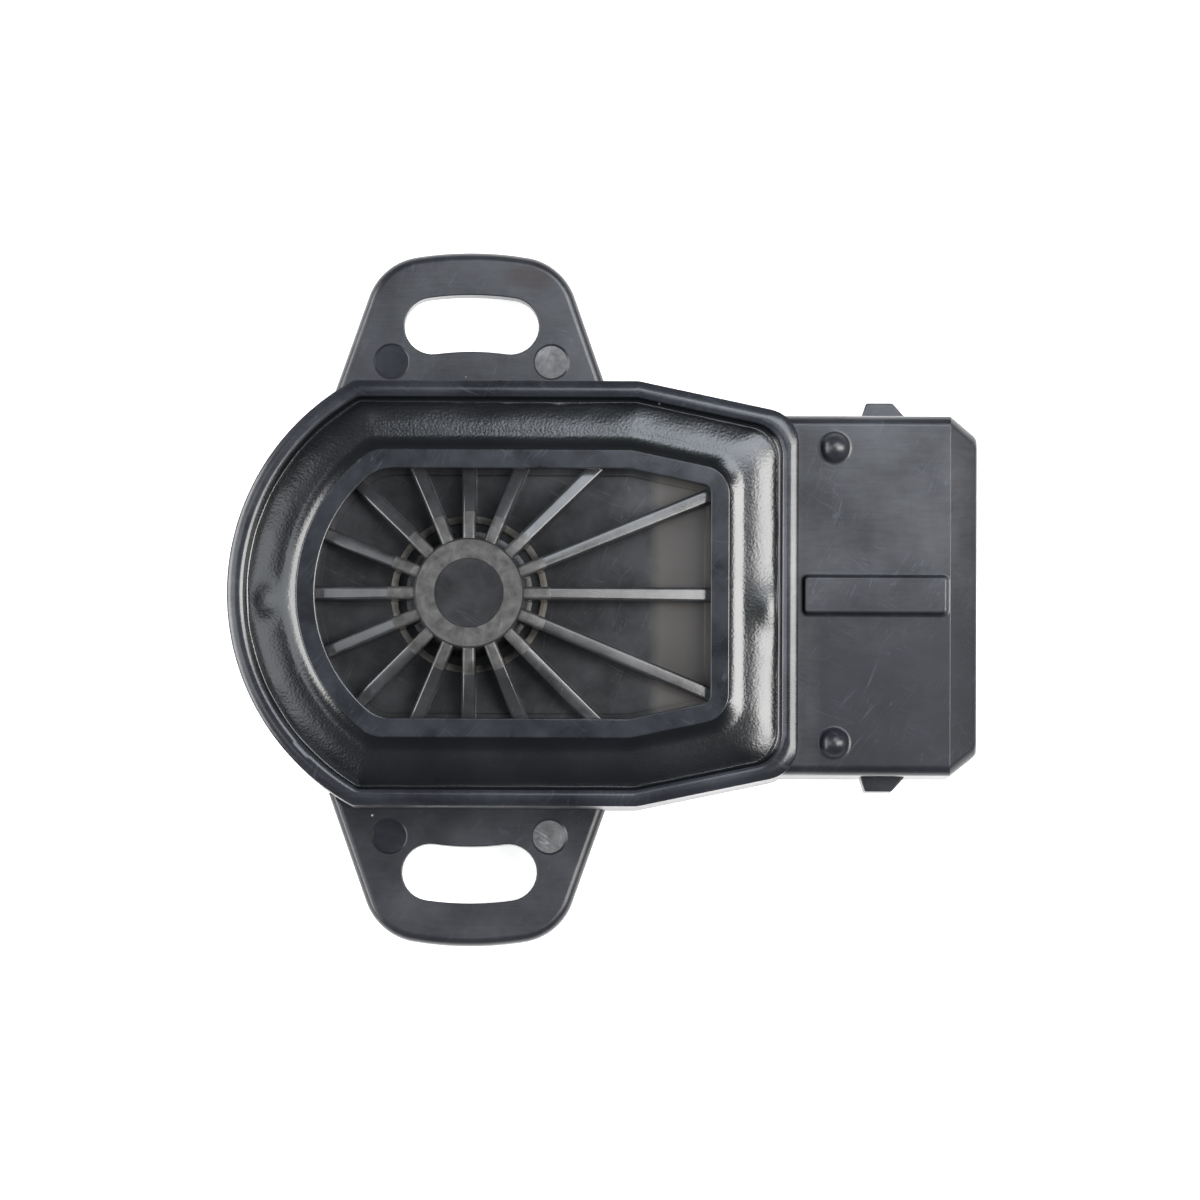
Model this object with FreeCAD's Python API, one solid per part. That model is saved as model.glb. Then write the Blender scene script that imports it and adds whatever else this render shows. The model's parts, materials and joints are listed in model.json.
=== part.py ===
import FreeCAD, Part
import math
import os

# Rotary throttle position sensor, in millimetres.
# The origin is on the rotor axis in the plane of the ears' underside.
# +X runs to the connector and +Z to the rear cover.

# Case outline seen from the cover side: round end, flanks, tapered flanks, straight end
CASE_RADIUS = 19.85
FLANK_CUT = 2.4
CASE_LENGTH = 27.0
TAPER_START = 13.85
TAPER_ANGLE = 11.9
CORNER_RADIUS = 3.0
LEAST_CORNER = 0.6
RIM_CHAMFER = 0.35

# Walls of the cup, from the outside inwards
RIM_WALL = 1.3
SHELF_WIDTH = 1.3
LEDGE_WIDTH = 1.2
FLOOR = 2.6

# Mounting ears with their arc-shaped adjusting slots
EAR_THICKNESS = 4.0
SLOT_RADIUS = 22.9
SLOT_WIDTH = 4.7
SLOT_HALF_ANGLE = 8.1
EAR_EDGE = 3.55
EAR_SIDE = 3.75
EAR_FLARE = 19.4
EAR_CORNER = 5.0
EAR_CHAMFER = 0.5

# Pilot spigot and bearing tube on the underside
SPIGOT_RADIUS = 12.5
SPIGOT_WALL = 2.0
SPIGOT_LENGTH = 3.0
SPIGOT_CHAMFER = 0.4
TUBE_SETBACK = 0.4
TUBE_WALL = 1.6
TUBE_RISE = 1.6

# Rotor: its travel, and the angle, width and play of the stop lug and posts, are in degrees
JOURNAL_RADIUS = 6.5
JOURNAL_SETBACK = 1.0
HUB_RADIUS = 8.2
HUB_HEIGHT = 2.75
FLANGE_RADIUS = 12.2
FLANGE_THICKNESS = 1.2
PIN_RADIUS = 1.5
PIN_ENGAGEMENT = 2.6
DRIVE_RADIUS = 4.2
DRIVE_WIDTH = 4.6
DRIVE_DEPTH = 7.0
TRAVEL = 110.0
LUG_ANGLE = 125.0
LUG_WIDTH = 18.0
LUG_WALL = 1.6
LUG_DROP = 3.0
STOP_WIDTH = 14.0
STOP_PLAY = 1.5

# Ring seal in the journal, thrust washer and return spring
SEAL_SECTION = 1.0
WASHER_THICKNESS = 0.4
SPRING_WIRE = 0.7
SPRING_TURNS = 3
CHORDS_PER_TURN = 20

# Wipers, tracks and board: the tracks' margin and the wipers' angles are in degrees
WIPER_ROOM = 1.1
WIPER_SHEET = 0.2
FINGER_LENGTH = 4.2
FINGER_WIDTH = 1.0
FINGER_BASE = 2.2
FINGER_TOE = 0.84
OUTER_TRACK_RADIUS = 10.2
INNER_TRACK_RADIUS = 8.0
TRACK_WIDTH = 1.4
TRACK_THICKNESS = 0.1
TRACK_MARGIN = 8.0
SIGNAL_ANGLE = 20.0
IDLE_ANGLE = 200.0
BOARD_THICKNESS = 0.9
PIN_ROOM = 0.8

# Rear cover
CLAMP_DROP = 1.1
CLAMP_WALL = 1.0
CLAMP_BACK = 6.0
COVER_FLANGE = 1.2
RESIN_CHANNEL = 4.3
COVER_RIM = 1.6
COVER_RIM_HEIGHT = 3.0
CASE_STAND = 0.5
COVER_HUB_RADIUS = 4.5
COVER_HUB_BASE = 5.2
COVER_HUB_STAND = 0.6
HUB_GROOVE = 1.0
HUB_GROOVE_DEPTH = 0.6
RIB_COUNT = 16
RIB_WIDTH = 1.0
RIB_FLAT = 2.2
RIB_STEP = 0.25
RIB_END_DROP = 1.7

# Potting resin: depth of its bed, and how far it climbs the two walls
RESIN_DEPTH = 1.9
RIM_CLIMB = 0.95
WALL_CLIMB = 0.55
RIM_MENISCUS = 1.5
WALL_MENISCUS = 0.9
MENISCUS_STEPS = 3

# Connector shroud
PITCH = 5.0
TERMINAL_NAMES = ("ground", "idle", "signal", "supply")
SHROUD_LENGTH = 14.7
SHROUD_RISE = 0.5
SHROUD_HEIGHT = 14.0
SHROUD_WALL = 2.0
SHROUD_SIDE_WALL = 2.2
SHROUD_SIDE_ROOM = 5.1
SHROUD_EDGE = 0.9
SHROUD_ROOT = 3.0
BULKHEAD = 1.5
MOUTH_LEAD = 2.2
MOUTH_SIDE_CHAMFER = 1.75
MOUTH_TOP_CHAMFER = 1.4
KEY_WIDTH = 3.0
KEY_HEIGHT = 1.0
KEY_SETBACK = 2.5
KEY_START = 0.5
BUMP_RADIUS = 1.225
BUMP_HEIGHT = 0.7
BUMP_SETBACK = 11.7
BUMP_SIDE = 2.66
LATCH_SETBACK = 9.5
LATCH_FOOT = 3.7
LATCH_BACK = 0.4
LATCH_RAMP = 1.1
LATCH_HEIGHT = 1.24
LATCH_TALL = 6.0

# Blade terminals
BLADE_WIDTH = 2.8
BLADE_THICKNESS = 0.8
BLADE_SETBACK = 4.2
BLADE_POINT = 1.2
BLADE_TIP = 1.4
LEAD_WIDTH = 1.0
LEG_SETBACK = 1.7
LEG_HOLE_PLAY = 0.15
PAD_WIDTH = 0.7
PAD_THICKNESS = 0.08
SOLDER_HEIGHT = 0.6
SOLDER_FOOT = 0.55
SOLDER_DRAW = 0.8
LEG_STAND = 0.15

# Clearances
BEARING_CLEARANCE = 0.05
AXIAL_CLEARANCE = 0.05
PIN_CLEARANCE = 0.05
PIN_END_CLEARANCE = 0.4
WASHER_CLEARANCE = 0.1
SEAL_CLEARANCE = 0.02
COVER_CLEARANCE = 0.15
BOARD_CLEARANCE = 0.15
SPRING_CLEARANCE = 0.3
CONTACT_CLEARANCE = 0.05

# Insets of the case outline for each wall
CASE_HALF_WIDTH = CASE_RADIUS - FLANK_CUT
SHELF_INSET = RIM_WALL + SHELF_WIDTH
LEDGE_INSET = SHELF_INSET + LEDGE_WIDTH
FLANGE_INSET = RIM_WALL + COVER_CLEARANCE
CLAMP_INSET = SHELF_INSET + COVER_CLEARANCE
RIM_INSET = RIM_WALL + RESIN_CHANNEL
COVER_FLOOR_INSET = RIM_INSET + COVER_RIM

# Heights, stacked from the housing floor to the top of the case
TUBE_TOP = FLOOR + TUBE_RISE
SHOULDER = TUBE_TOP + WASHER_THICKNESS + AXIAL_CLEARANCE
FLANGE_BOTTOM = SHOULDER + HUB_HEIGHT
FLANGE_TOP = FLANGE_BOTTOM + FLANGE_THICKNESS
TRACK_BOTTOM = FLANGE_TOP + WIPER_ROOM
BOARD_BOTTOM = TRACK_BOTTOM + TRACK_THICKNESS
BOARD_TOP = BOARD_BOTTOM + BOARD_THICKNESS
COVER_SEAT = BOARD_TOP + CLAMP_DROP
COVER_FLOOR = COVER_SEAT + COVER_FLANGE
COVER_TOP = COVER_FLOOR + COVER_RIM_HEIGHT
CASE_HEIGHT = COVER_TOP + CASE_STAND
COVER_HUB_TOP = COVER_TOP + COVER_HUB_STAND

# Radii and places worked out from the sizes above
EAR_RADIUS = SLOT_RADIUS + SLOT_WIDTH / 2 + EAR_EDGE
BORE_RADIUS = JOURNAL_RADIUS + BEARING_CLEARANCE
TUBE_RADIUS = BORE_RADIUS + TUBE_WALL
JOURNAL_END = -SPIGOT_LENGTH + JOURNAL_SETBACK
SPRING_RADIUS = HUB_RADIUS + SPRING_CLEARANCE + SPRING_WIRE
LUG_INNER = SPRING_RADIUS + SPRING_WIRE / 2 + 3 * SPRING_CLEARANCE
LUG_OUTER = LUG_INNER + LUG_WALL
MOUTH_X = CASE_LENGTH + SHROUD_LENGTH
SHROUD_HALF_WIDTH = 1.5 * PITCH + SHROUD_SIDE_ROOM + SHROUD_SIDE_WALL
SHROUD_TOP = SHROUD_RISE + SHROUD_HEIGHT
SHROUD_MIDDLE = SHROUD_RISE + SHROUD_HEIGHT / 2
LEG_X = CASE_LENGTH - LEDGE_INSET - LEG_SETBACK
LEG_TOP = BOARD_TOP + PAD_THICKNESS + SOLDER_HEIGHT + LEG_STAND
CONTACT_ANGLE = math.degrees(math.atan2(FINGER_LENGTH, OUTER_TRACK_RADIUS))

V = FreeCAD.Vector
AXIS = V(0, 0, 1)
THROUGH = 1.0
TOLERANCE = 0.001


def polar(radius, degrees, z=0.0):
    turn = math.radians(degrees)
    return V(radius * math.cos(turn), radius * math.sin(turn), z)


def rod(radius, bottom, top, x=0.0, y=0.0):
    return Part.makeCylinder(radius, top - bottom, V(x, y, bottom))


def ring(inner, outer, bottom, top):
    return rod(outer, bottom, top).cut(rod(inner, bottom, top))


def sector(inner, outer, bottom, top, start, width):
    pie = Part.makeCylinder(outer, top - bottom, V(0, 0, bottom), AXIS, width)
    piece = pie.cut(rod(inner, bottom, top))
    piece.rotate(V(), AXIS, start)
    return piece


def block(x0, x1, y0, y1, z0, z1):
    return Part.makeBox(x1 - x0, y1 - y0, z1 - z0, V(x0, y0, z0))


def plate(points, bottom, top):
    """A flat plate with straight edges, from its (x, y) corners."""
    corners = [V(x, y, bottom) for x, y in points]
    face = Part.Face(Part.makePolygon(corners + corners[:1]))
    return face.extrude(V(0, 0, top - bottom))


def mirrored(shape):
    return shape.mirror(V(), V(0, 1, 0))


def taper_reach(inset):
    """Distance from the rotor axis to the tapered flank."""
    turn = math.radians(TAPER_ANGLE)
    return TAPER_START * math.sin(turn) + CASE_HALF_WIDTH * math.cos(turn) - inset


def outline_edges(inset, z):
    """The case outline moved inwards by inset, as eight edges in a fixed order."""
    turn = math.radians(TAPER_ANGLE)
    radius = CASE_RADIUS - inset
    half = CASE_HALF_WIDTH - inset
    end = CASE_LENGTH - inset
    corner = max(CORNER_RADIUS - inset, LEAST_CORNER)
    reach = taper_reach(inset)
    left = -math.sqrt(radius ** 2 - half ** 2)
    knee = (reach - half * math.cos(turn)) / math.sin(turn)
    end_half = (reach - end * math.sin(turn)) / math.cos(turn)
    tangent = corner * math.tan((math.pi / 2 - turn) / 2)
    bisector = (math.pi / 2 - turn) / 2
    flank_x = end - tangent * math.cos(turn)
    flank_y = end_half + tangent * math.sin(turn)
    end_y = end_half - tangent
    mid_x = end - corner + corner * math.cos(bisector)
    mid_y = end_y + corner * math.sin(bisector)

    def at(x, y):
        return V(x, y, z)

    return [
        Part.Arc(at(left, -half), at(-radius, 0), at(left, half)).toShape(),
        Part.makeLine(at(left, half), at(knee, half)),
        Part.makeLine(at(knee, half), at(flank_x, flank_y)),
        Part.Arc(at(flank_x, flank_y), at(mid_x, mid_y), at(end, end_y)).toShape(),
        Part.makeLine(at(end, end_y), at(end, -end_y)),
        Part.Arc(at(end, -end_y), at(mid_x, -mid_y), at(flank_x, -flank_y)).toShape(),
        Part.makeLine(at(flank_x, -flank_y), at(knee, -half)),
        Part.makeLine(at(knee, -half), at(left, -half)),
    ]


def outline_wire(inset, z):
    return Part.Wire(outline_edges(inset, z))


def prism(inset, bottom, top):
    return Part.Face(outline_wire(inset, bottom)).extrude(V(0, 0, top - bottom))


def wall(outer_inset, inner_inset, bottom, top):
    return prism(outer_inset, bottom, top).cut(prism(inner_inset, bottom, top))


def outline_distance(degrees, inset):
    """Distance from the rotor axis to the inset outline in one direction."""
    turn = math.radians(degrees)
    taper = math.radians(TAPER_ANGLE)
    across = abs(math.sin(turn))
    along = math.cos(turn)
    reaches = [(CASE_HALF_WIDTH - inset) / max(across, 1e-6)]
    if along > 0:
        reaches.append((CASE_LENGTH - inset) / along)
        slant = along * math.sin(taper) + across * math.cos(taper)
        reaches.append(taper_reach(inset) / slant)
    else:
        reaches.append(CASE_RADIUS - inset)
    return min(reaches)


def band(profile):
    """A closed ring that follows the outline, from its (inset, z) section."""
    faces = []
    for (inset, z), (next_inset, next_z) in zip(profile, profile[1:] + profile[:1]):
        edges = outline_edges(inset, z)
        next_edges = outline_edges(next_inset, next_z)
        if inset == next_inset:
            faces += [edge.extrude(V(0, 0, next_z - z)) for edge in edges]
        elif z == next_z:
            wires = [Part.Wire(edges), Part.Wire(next_edges)]
            faces.append(Part.makeFace(wires, "Part::FaceMakerBullseye"))
        else:
            faces += [Part.makeRuledSurface(a, b) for a, b in zip(edges, next_edges)]
    skin = Part.makeCompound(faces)
    skin.sewShape()
    solid = Part.makeSolid(skin.Shells[0])
    if solid.Volume < 0:
        solid.reverse()
    return solid


def ear_half_width(y):
    """Half the ear's width: its sides close in towards the outer edge."""
    slot_end = SLOT_RADIUS * math.sin(math.radians(SLOT_HALF_ANGLE)) + SLOT_WIDTH / 2
    return slot_end + EAR_SIDE + (SLOT_RADIUS - y) * math.tan(math.radians(EAR_FLARE))


def ear_slot():
    """Arc slot about the rotor axis, with round ends."""
    bottom, top = -THROUGH, EAR_THICKNESS + THROUGH
    inner = SLOT_RADIUS - SLOT_WIDTH / 2
    start = 90 - SLOT_HALF_ANGLE
    slot = sector(inner, inner + SLOT_WIDTH, bottom, top, start, 2 * SLOT_HALF_ANGLE)
    for side in (-1, 1):
        end = polar(SLOT_RADIUS, 90 + side * SLOT_HALF_ANGLE)
        slot = slot.fuse(rod(SLOT_WIDTH / 2, bottom, top, end.x, end.y))
    return slot.removeSplitter()


def ear():
    """One mounting ear with broken upper edges and its slot."""
    root = CASE_HALF_WIDTH - RIM_WALL
    sides = [
        (-ear_half_width(root), root),
        (ear_half_width(root), root),
        (ear_half_width(EAR_RADIUS), EAR_RADIUS),
        (-ear_half_width(EAR_RADIUS), EAR_RADIUS),
    ]
    blank = plate(sides, 0, EAR_THICKNESS).common(rod(EAR_RADIUS, 0, EAR_THICKNESS))
    corners = [
        edge for edge in blank.Edges
        if abs(edge.tangentAt(edge.FirstParameter).z) > 1 - TOLERANCE
        and edge.CenterOfMass.y > SLOT_RADIUS
    ]
    blank = blank.makeFillet(EAR_CORNER, corners)
    upper = [
        edge for edge in blank.Edges
        if abs(edge.CenterOfMass.z - EAR_THICKNESS) < TOLERANCE
        and edge.CenterOfMass.y > root + TOLERANCE
    ]
    blank = blank.makeChamfer(EAR_CHAMFER, upper)
    return blank.cut(ear_slot())


def rounded_section(x, half_width, bottom, top, corner):
    """Rounded rectangle across the connector's axis."""
    right = half_width - corner
    low = bottom + corner
    high = top - corner
    centres = [(right, low), (right, high), (-right, high), (-right, low)]
    edges = []
    last = None
    for quarter, (y, z) in enumerate(centres):
        points = []
        for part_turn in (-90, -45, 0):
            turn = math.radians(90 * quarter + part_turn)
            points.append(V(x, y + corner * math.cos(turn), z + corner * math.sin(turn)))
        if last:
            edges.append(Part.makeLine(last, points[0]))
        edges.append(Part.Arc(*points).toShape())
        last = points[-1]
    first = V(x, right, bottom)
    edges.append(Part.makeLine(last, first))
    return Part.Wire(edges)


def shroud():
    """Connector shroud: body, chamfered mouth, key rib, bumps and latch lugs."""
    root_x = CASE_LENGTH - SHROUD_ROOT
    lead_x = MOUTH_X - MOUTH_LEAD
    section = rounded_section(root_x, SHROUD_HALF_WIDTH, SHROUD_RISE, SHROUD_TOP, SHROUD_EDGE)
    body = Part.Face(section).extrude(V(lead_x - root_x, 0, 0))
    lead = Part.makeLoft([
        rounded_section(lead_x, SHROUD_HALF_WIDTH, SHROUD_RISE, SHROUD_TOP, SHROUD_EDGE),
        rounded_section(
            MOUTH_X,
            SHROUD_HALF_WIDTH - MOUTH_SIDE_CHAMFER,
            SHROUD_RISE + MOUTH_TOP_CHAMFER,
            SHROUD_TOP - MOUTH_TOP_CHAMFER,
            SHROUD_EDGE,
        ),
    ], True, True)
    body = body.fuse([lead, key_rib()] + [bump(side) for side in (-1, 1)])
    return body.fuse([latch_lug(), mirrored(latch_lug())])


def key_rib():
    top = SHROUD_TOP + KEY_HEIGHT
    start = CASE_LENGTH + KEY_START
    return block(start, MOUTH_X - KEY_SETBACK, -KEY_WIDTH / 2, KEY_WIDTH / 2, SHROUD_MIDDLE, top)


def bump(side):
    """Low dome on the shroud's upper wall."""
    ball = (BUMP_RADIUS ** 2 + BUMP_HEIGHT ** 2) / (2 * BUMP_HEIGHT)
    y = side * (SHROUD_HALF_WIDTH - BUMP_SIDE)
    return Part.makeSphere(ball, V(MOUTH_X - BUMP_SETBACK, y, SHROUD_TOP + BUMP_HEIGHT - ball))


def latch_lug():
    """Lug on the shroud's side: a steep back and a ramp towards the mouth."""
    back = MOUTH_X - LATCH_SETBACK
    front = back + LATCH_FOOT
    root = SHROUD_HALF_WIDTH - SHROUD_SIDE_WALL / 2
    tip = SHROUD_HALF_WIDTH + LATCH_HEIGHT
    outline = [
        (back, root),
        (front, root),
        (front, SHROUD_HALF_WIDTH),
        (front - LATCH_RAMP, tip),
        (back + LATCH_BACK, tip),
        (back, SHROUD_HALF_WIDTH),
    ]
    return plate(outline, SHROUD_MIDDLE - LATCH_TALL / 2, SHROUD_MIDDLE + LATCH_TALL / 2)


def shroud_cavity():
    bulkhead_x = CASE_LENGTH + BULKHEAD
    section = rounded_section(
        bulkhead_x,
        SHROUD_HALF_WIDTH - SHROUD_SIDE_WALL,
        SHROUD_RISE + SHROUD_WALL,
        SHROUD_TOP - SHROUD_WALL,
        SHROUD_EDGE,
    )
    return Part.Face(section).extrude(V(MOUTH_X + THROUGH - bulkhead_x, 0, 0))


def spigot():
    """Pilot ring that centres the sensor on the throttle body."""
    end = -SPIGOT_LENGTH
    shank = rod(SPIGOT_RADIUS, end + SPIGOT_CHAMFER, THROUGH)
    lead = Part.makeCone(SPIGOT_RADIUS - SPIGOT_CHAMFER, SPIGOT_RADIUS, SPIGOT_CHAMFER, V(0, 0, end))
    return shank.fuse(lead).cut(rod(SPIGOT_RADIUS - SPIGOT_WALL, end, 0))


def bearing_tube():
    return rod(TUBE_RADIUS, -SPIGOT_LENGTH + TUBE_SETBACK, TUBE_TOP)


def stop_posts():
    """The two posts between which the rotor's lug travels."""
    top = FLANGE_BOTTOM - 4 * SPRING_CLEARANCE
    reach = LUG_WIDTH / 2 + STOP_PLAY
    closed = LUG_ANGLE - reach - STOP_WIDTH
    opened = LUG_ANGLE + TRAVEL + reach
    return [
        sector(LUG_INNER, LUG_OUTER, FLOOR - THROUGH, top, start, STOP_WIDTH)
        for start in (closed, opened)
    ]


def housing():
    """The one-piece moulding that carries everything."""
    shell = prism(0, 0, CASE_HEIGHT - RIM_CHAMFER)
    lip = Part.makeLoft([
        outline_wire(0, CASE_HEIGHT - RIM_CHAMFER),
        outline_wire(RIM_CHAMFER, CASE_HEIGHT),
    ], True, True)
    shell = shell.fuse([lip, ear(), mirrored(ear()), shroud(), spigot()])
    shell = shell.cut(prism(LEDGE_INSET, FLOOR, CASE_HEIGHT + THROUGH))
    shell = shell.cut(prism(SHELF_INSET, BOARD_BOTTOM, CASE_HEIGHT + THROUGH))
    shell = shell.cut(prism(RIM_WALL, COVER_SEAT, CASE_HEIGHT + THROUGH))
    shell = shell.cut(shroud_cavity())
    shell = shell.fuse([bearing_tube()] + stop_posts())
    shell = shell.cut(rod(BORE_RADIUS, -SPIGOT_LENGTH - THROUGH, TUBE_TOP + THROUGH))
    for place in range(len(TERMINAL_NAMES)):
        shell = shell.cut(terminal(place))
    return shell.removeSplitter()


def terminal_y(place):
    return (place - (len(TERMINAL_NAMES) - 1) / 2) * PITCH


def terminal(place):
    """Blade with a pointed tip, a narrow lead through the wall and an upright leg."""
    y = terminal_y(place)
    bottom = SHROUD_MIDDLE - BLADE_THICKNESS / 2
    top = bottom + BLADE_THICKNESS
    tip = MOUTH_X - BLADE_SETBACK
    half = BLADE_WIDTH / 2
    blade = plate([
        (CASE_LENGTH, y - half),
        (tip - BLADE_POINT, y - half),
        (tip, y - BLADE_TIP / 2),
        (tip, y + BLADE_TIP / 2),
        (tip - BLADE_POINT, y + half),
        (CASE_LENGTH, y + half),
    ], bottom, top)
    left = LEG_X - BLADE_THICKNESS / 2
    right = LEG_X + BLADE_THICKNESS / 2
    side = LEAD_WIDTH / 2
    lead = block(left, CASE_LENGTH, y - side, y + side, bottom, top)
    leg = block(left, right, y - side, y + side, bottom, LEG_TOP)
    return blade.fuse([lead, leg]).removeSplitter()


def leg_block(place, margin, bottom, top):
    """A block round one terminal leg, wider than the leg by margin on each side."""
    y = terminal_y(place)
    half_x = BLADE_THICKNESS / 2 + margin
    half_y = LEAD_WIDTH / 2 + margin
    return block(LEG_X - half_x, LEG_X + half_x, y - half_y, y + half_y, bottom, top)


def resistor_board():
    board = prism(SHELF_INSET + BOARD_CLEARANCE, BOARD_BOTTOM, BOARD_TOP)
    board = board.cut(rod(PIN_RADIUS + PIN_ROOM, BOARD_BOTTOM, BOARD_TOP))
    for place in range(len(TERMINAL_NAMES)):
        board = board.cut(leg_block(place, LEG_HOLE_PLAY, BOARD_BOTTOM, BOARD_TOP))
    return board


def solder_pads():
    """Printed pads round the terminal holes."""
    top = BOARD_TOP + PAD_THICKNESS
    pads = []
    for place in range(len(TERMINAL_NAMES)):
        pad = leg_block(place, LEG_HOLE_PLAY + PAD_WIDTH, BOARD_TOP, top)
        pads.append(pad.cut(leg_block(place, LEG_HOLE_PLAY, BOARD_TOP, top)))
    return Part.makeCompound(pads)


def solder_joints():
    """Solder drawn up from each pad to its terminal leg."""
    bottom = BOARD_TOP + PAD_THICKNESS
    joints = []
    for place in range(len(TERMINAL_NAMES)):
        foot = leg_block(place, LEG_HOLE_PLAY + SOLDER_FOOT, bottom, bottom + SOLDER_HEIGHT)
        upper = [
            edge for edge in foot.Edges
            if abs(edge.CenterOfMass.z - bottom - SOLDER_HEIGHT) < TOLERANCE
        ]
        drawn = foot.makeChamfer(SOLDER_HEIGHT * SOLDER_DRAW, upper)
        joints.append(drawn.cut(terminal(place)))
    return Part.makeCompound(joints)


def track(radius, start, sweep):
    """One printed arc on the underside of the board."""
    inner = radius - TRACK_WIDTH / 2
    return sector(inner, inner + TRACK_WIDTH, TRACK_BOTTOM, BOARD_BOTTOM, start, sweep)


def resistor_track():
    start = SIGNAL_ANGLE + CONTACT_ANGLE - TRACK_MARGIN
    return track(OUTER_TRACK_RADIUS, start, TRAVEL + 2 * TRACK_MARGIN)


def collector_tracks():
    """A collector arc for each wiper, over its whole travel."""
    sweep = TRAVEL + 2 * TRACK_MARGIN
    starts = [angle + CONTACT_ANGLE - TRACK_MARGIN for angle in (SIGNAL_ANGLE, IDLE_ANGLE)]
    return Part.makeCompound([track(INNER_TRACK_RADIUS, start, sweep) for start in starts])


def idle_track():
    """Short contact that the idle wiper leaves as the throttle opens."""
    start = IDLE_ANGLE + CONTACT_ANGLE - TRACK_MARGIN
    return track(OUTER_TRACK_RADIUS, start, 2 * TRACK_MARGIN)


def wiper(angle):
    """Stamped contact: a foot on the flange and two sprung fingers under the tracks."""
    seat = FLANGE_TOP
    contact = TRACK_BOTTOM - CONTACT_CLEARANCE - WIPER_SHEET
    knee = FINGER_LENGTH
    toe = FINGER_LENGTH + FINGER_TOE
    side = [
        (-FINGER_BASE, seat),
        (0, seat),
        (knee, contact),
        (toe, (seat + contact) / 2),
    ]
    outline = side + [(y, z + WIPER_SHEET) for y, z in reversed(side)]
    outer = OUTER_TRACK_RADIUS + FINGER_WIDTH / 2
    inner = INNER_TRACK_RADIUS - FINGER_WIDTH / 2
    piece = block(inner, outer, -FINGER_BASE, 0, seat, seat + WIPER_SHEET)
    for radius in (INNER_TRACK_RADIUS, OUTER_TRACK_RADIUS):
        corners = [V(radius - FINGER_WIDTH / 2, y, z) for y, z in outline]
        finger = Part.Face(Part.makePolygon(corners + corners[:1]))
        piece = piece.fuse(finger.extrude(V(FINGER_WIDTH, 0, 0)))
    piece = piece.removeSplitter()
    piece.rotate(V(), AXIS, angle)
    return piece


def rotor():
    """Moulded shaft that the throttle spindle turns."""
    shape = rod(JOURNAL_RADIUS, JOURNAL_END, SHOULDER)
    shape = shape.fuse([
        rod(HUB_RADIUS, SHOULDER, FLANGE_TOP),
        rod(FLANGE_RADIUS, FLANGE_BOTTOM, FLANGE_TOP),
        rod(PIN_RADIUS, FLANGE_TOP, COVER_SEAT + PIN_ENGAGEMENT),
        sector(
            LUG_INNER, LUG_OUTER, FLANGE_BOTTOM - LUG_DROP, FLANGE_BOTTOM,
            LUG_ANGLE - LUG_WIDTH / 2, LUG_WIDTH,
        ),
    ])
    groove = JOURNAL_RADIUS - SEAL_SECTION
    half = SEAL_SECTION / 2 + SEAL_CLEARANCE
    shape = shape.cut(ring(groove, JOURNAL_RADIUS + THROUGH, -half, half))
    top = JOURNAL_END + DRIVE_DEPTH
    slot = rod(DRIVE_RADIUS, JOURNAL_END, top)
    flats = block(
        -DRIVE_RADIUS, DRIVE_RADIUS, -DRIVE_WIDTH / 2, DRIVE_WIDTH / 2, JOURNAL_END, top,
    )
    return shape.cut(slot.common(flats)).removeSplitter()


def rotor_seal():
    """Square-cut rubber ring in the journal's groove."""
    groove = JOURNAL_RADIUS - SEAL_SECTION
    return ring(groove, JOURNAL_RADIUS, -SEAL_SECTION / 2, SEAL_SECTION / 2)


def thrust_washer():
    bore = JOURNAL_RADIUS + WASHER_CLEARANCE
    return ring(bore, HUB_RADIUS - WASHER_CLEARANCE, TUBE_TOP, TUBE_TOP + WASHER_THICKNESS)


def wire_section(centre, way):
    """Six-sided section of the spring's wire, across the way it runs."""
    side = way.cross(AXIS).normalize()
    up = side.cross(way).normalize()
    corners = []
    for number in range(6):
        turn = math.radians(60 * number)
        corners.append(centre + (side * math.cos(turn) + up * math.sin(turn)) * (SPRING_WIRE / 2))
    return Part.makePolygon(corners + corners[:1])


def return_spring():
    """Torsion spring with straight legs against the closed stop and the rotor's lug."""
    low = FLOOR + SPRING_CLEARANCE + SPRING_WIRE / 2
    high = FLANGE_BOTTOM - SPRING_CLEARANCE - SPRING_WIRE / 2
    inside = LUG_INNER - SPRING_WIRE / 2 - SPRING_CLEARANCE / 2
    lean = math.degrees(math.acos(SPRING_RADIUS / inside))
    first = LUG_ANGLE - LUG_WIDTH / 2 - STOP_PLAY - STOP_WIDTH + lean
    last = LUG_ANGLE + LUG_WIDTH / 2 - lean + 360 * SPRING_TURNS
    chords = SPRING_TURNS * CHORDS_PER_TURN
    path = []
    for number in range(chords + 1):
        share = number / chords
        path.append(polar(SPRING_RADIUS, first + (last - first) * share, low + (high - low) * share))
    leg = math.sqrt(((LUG_INNER + LUG_OUTER) / 2) ** 2 - SPRING_RADIUS ** 2)
    foot = path[0] - polar(leg, first + 90)
    path = [foot] + path + [path[-1] + polar(leg, last + 90)]
    section = wire_section(foot, polar(1, first + 90))
    return Part.makePolygon(path).makePipeShell([section], True, False, 1)


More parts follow.
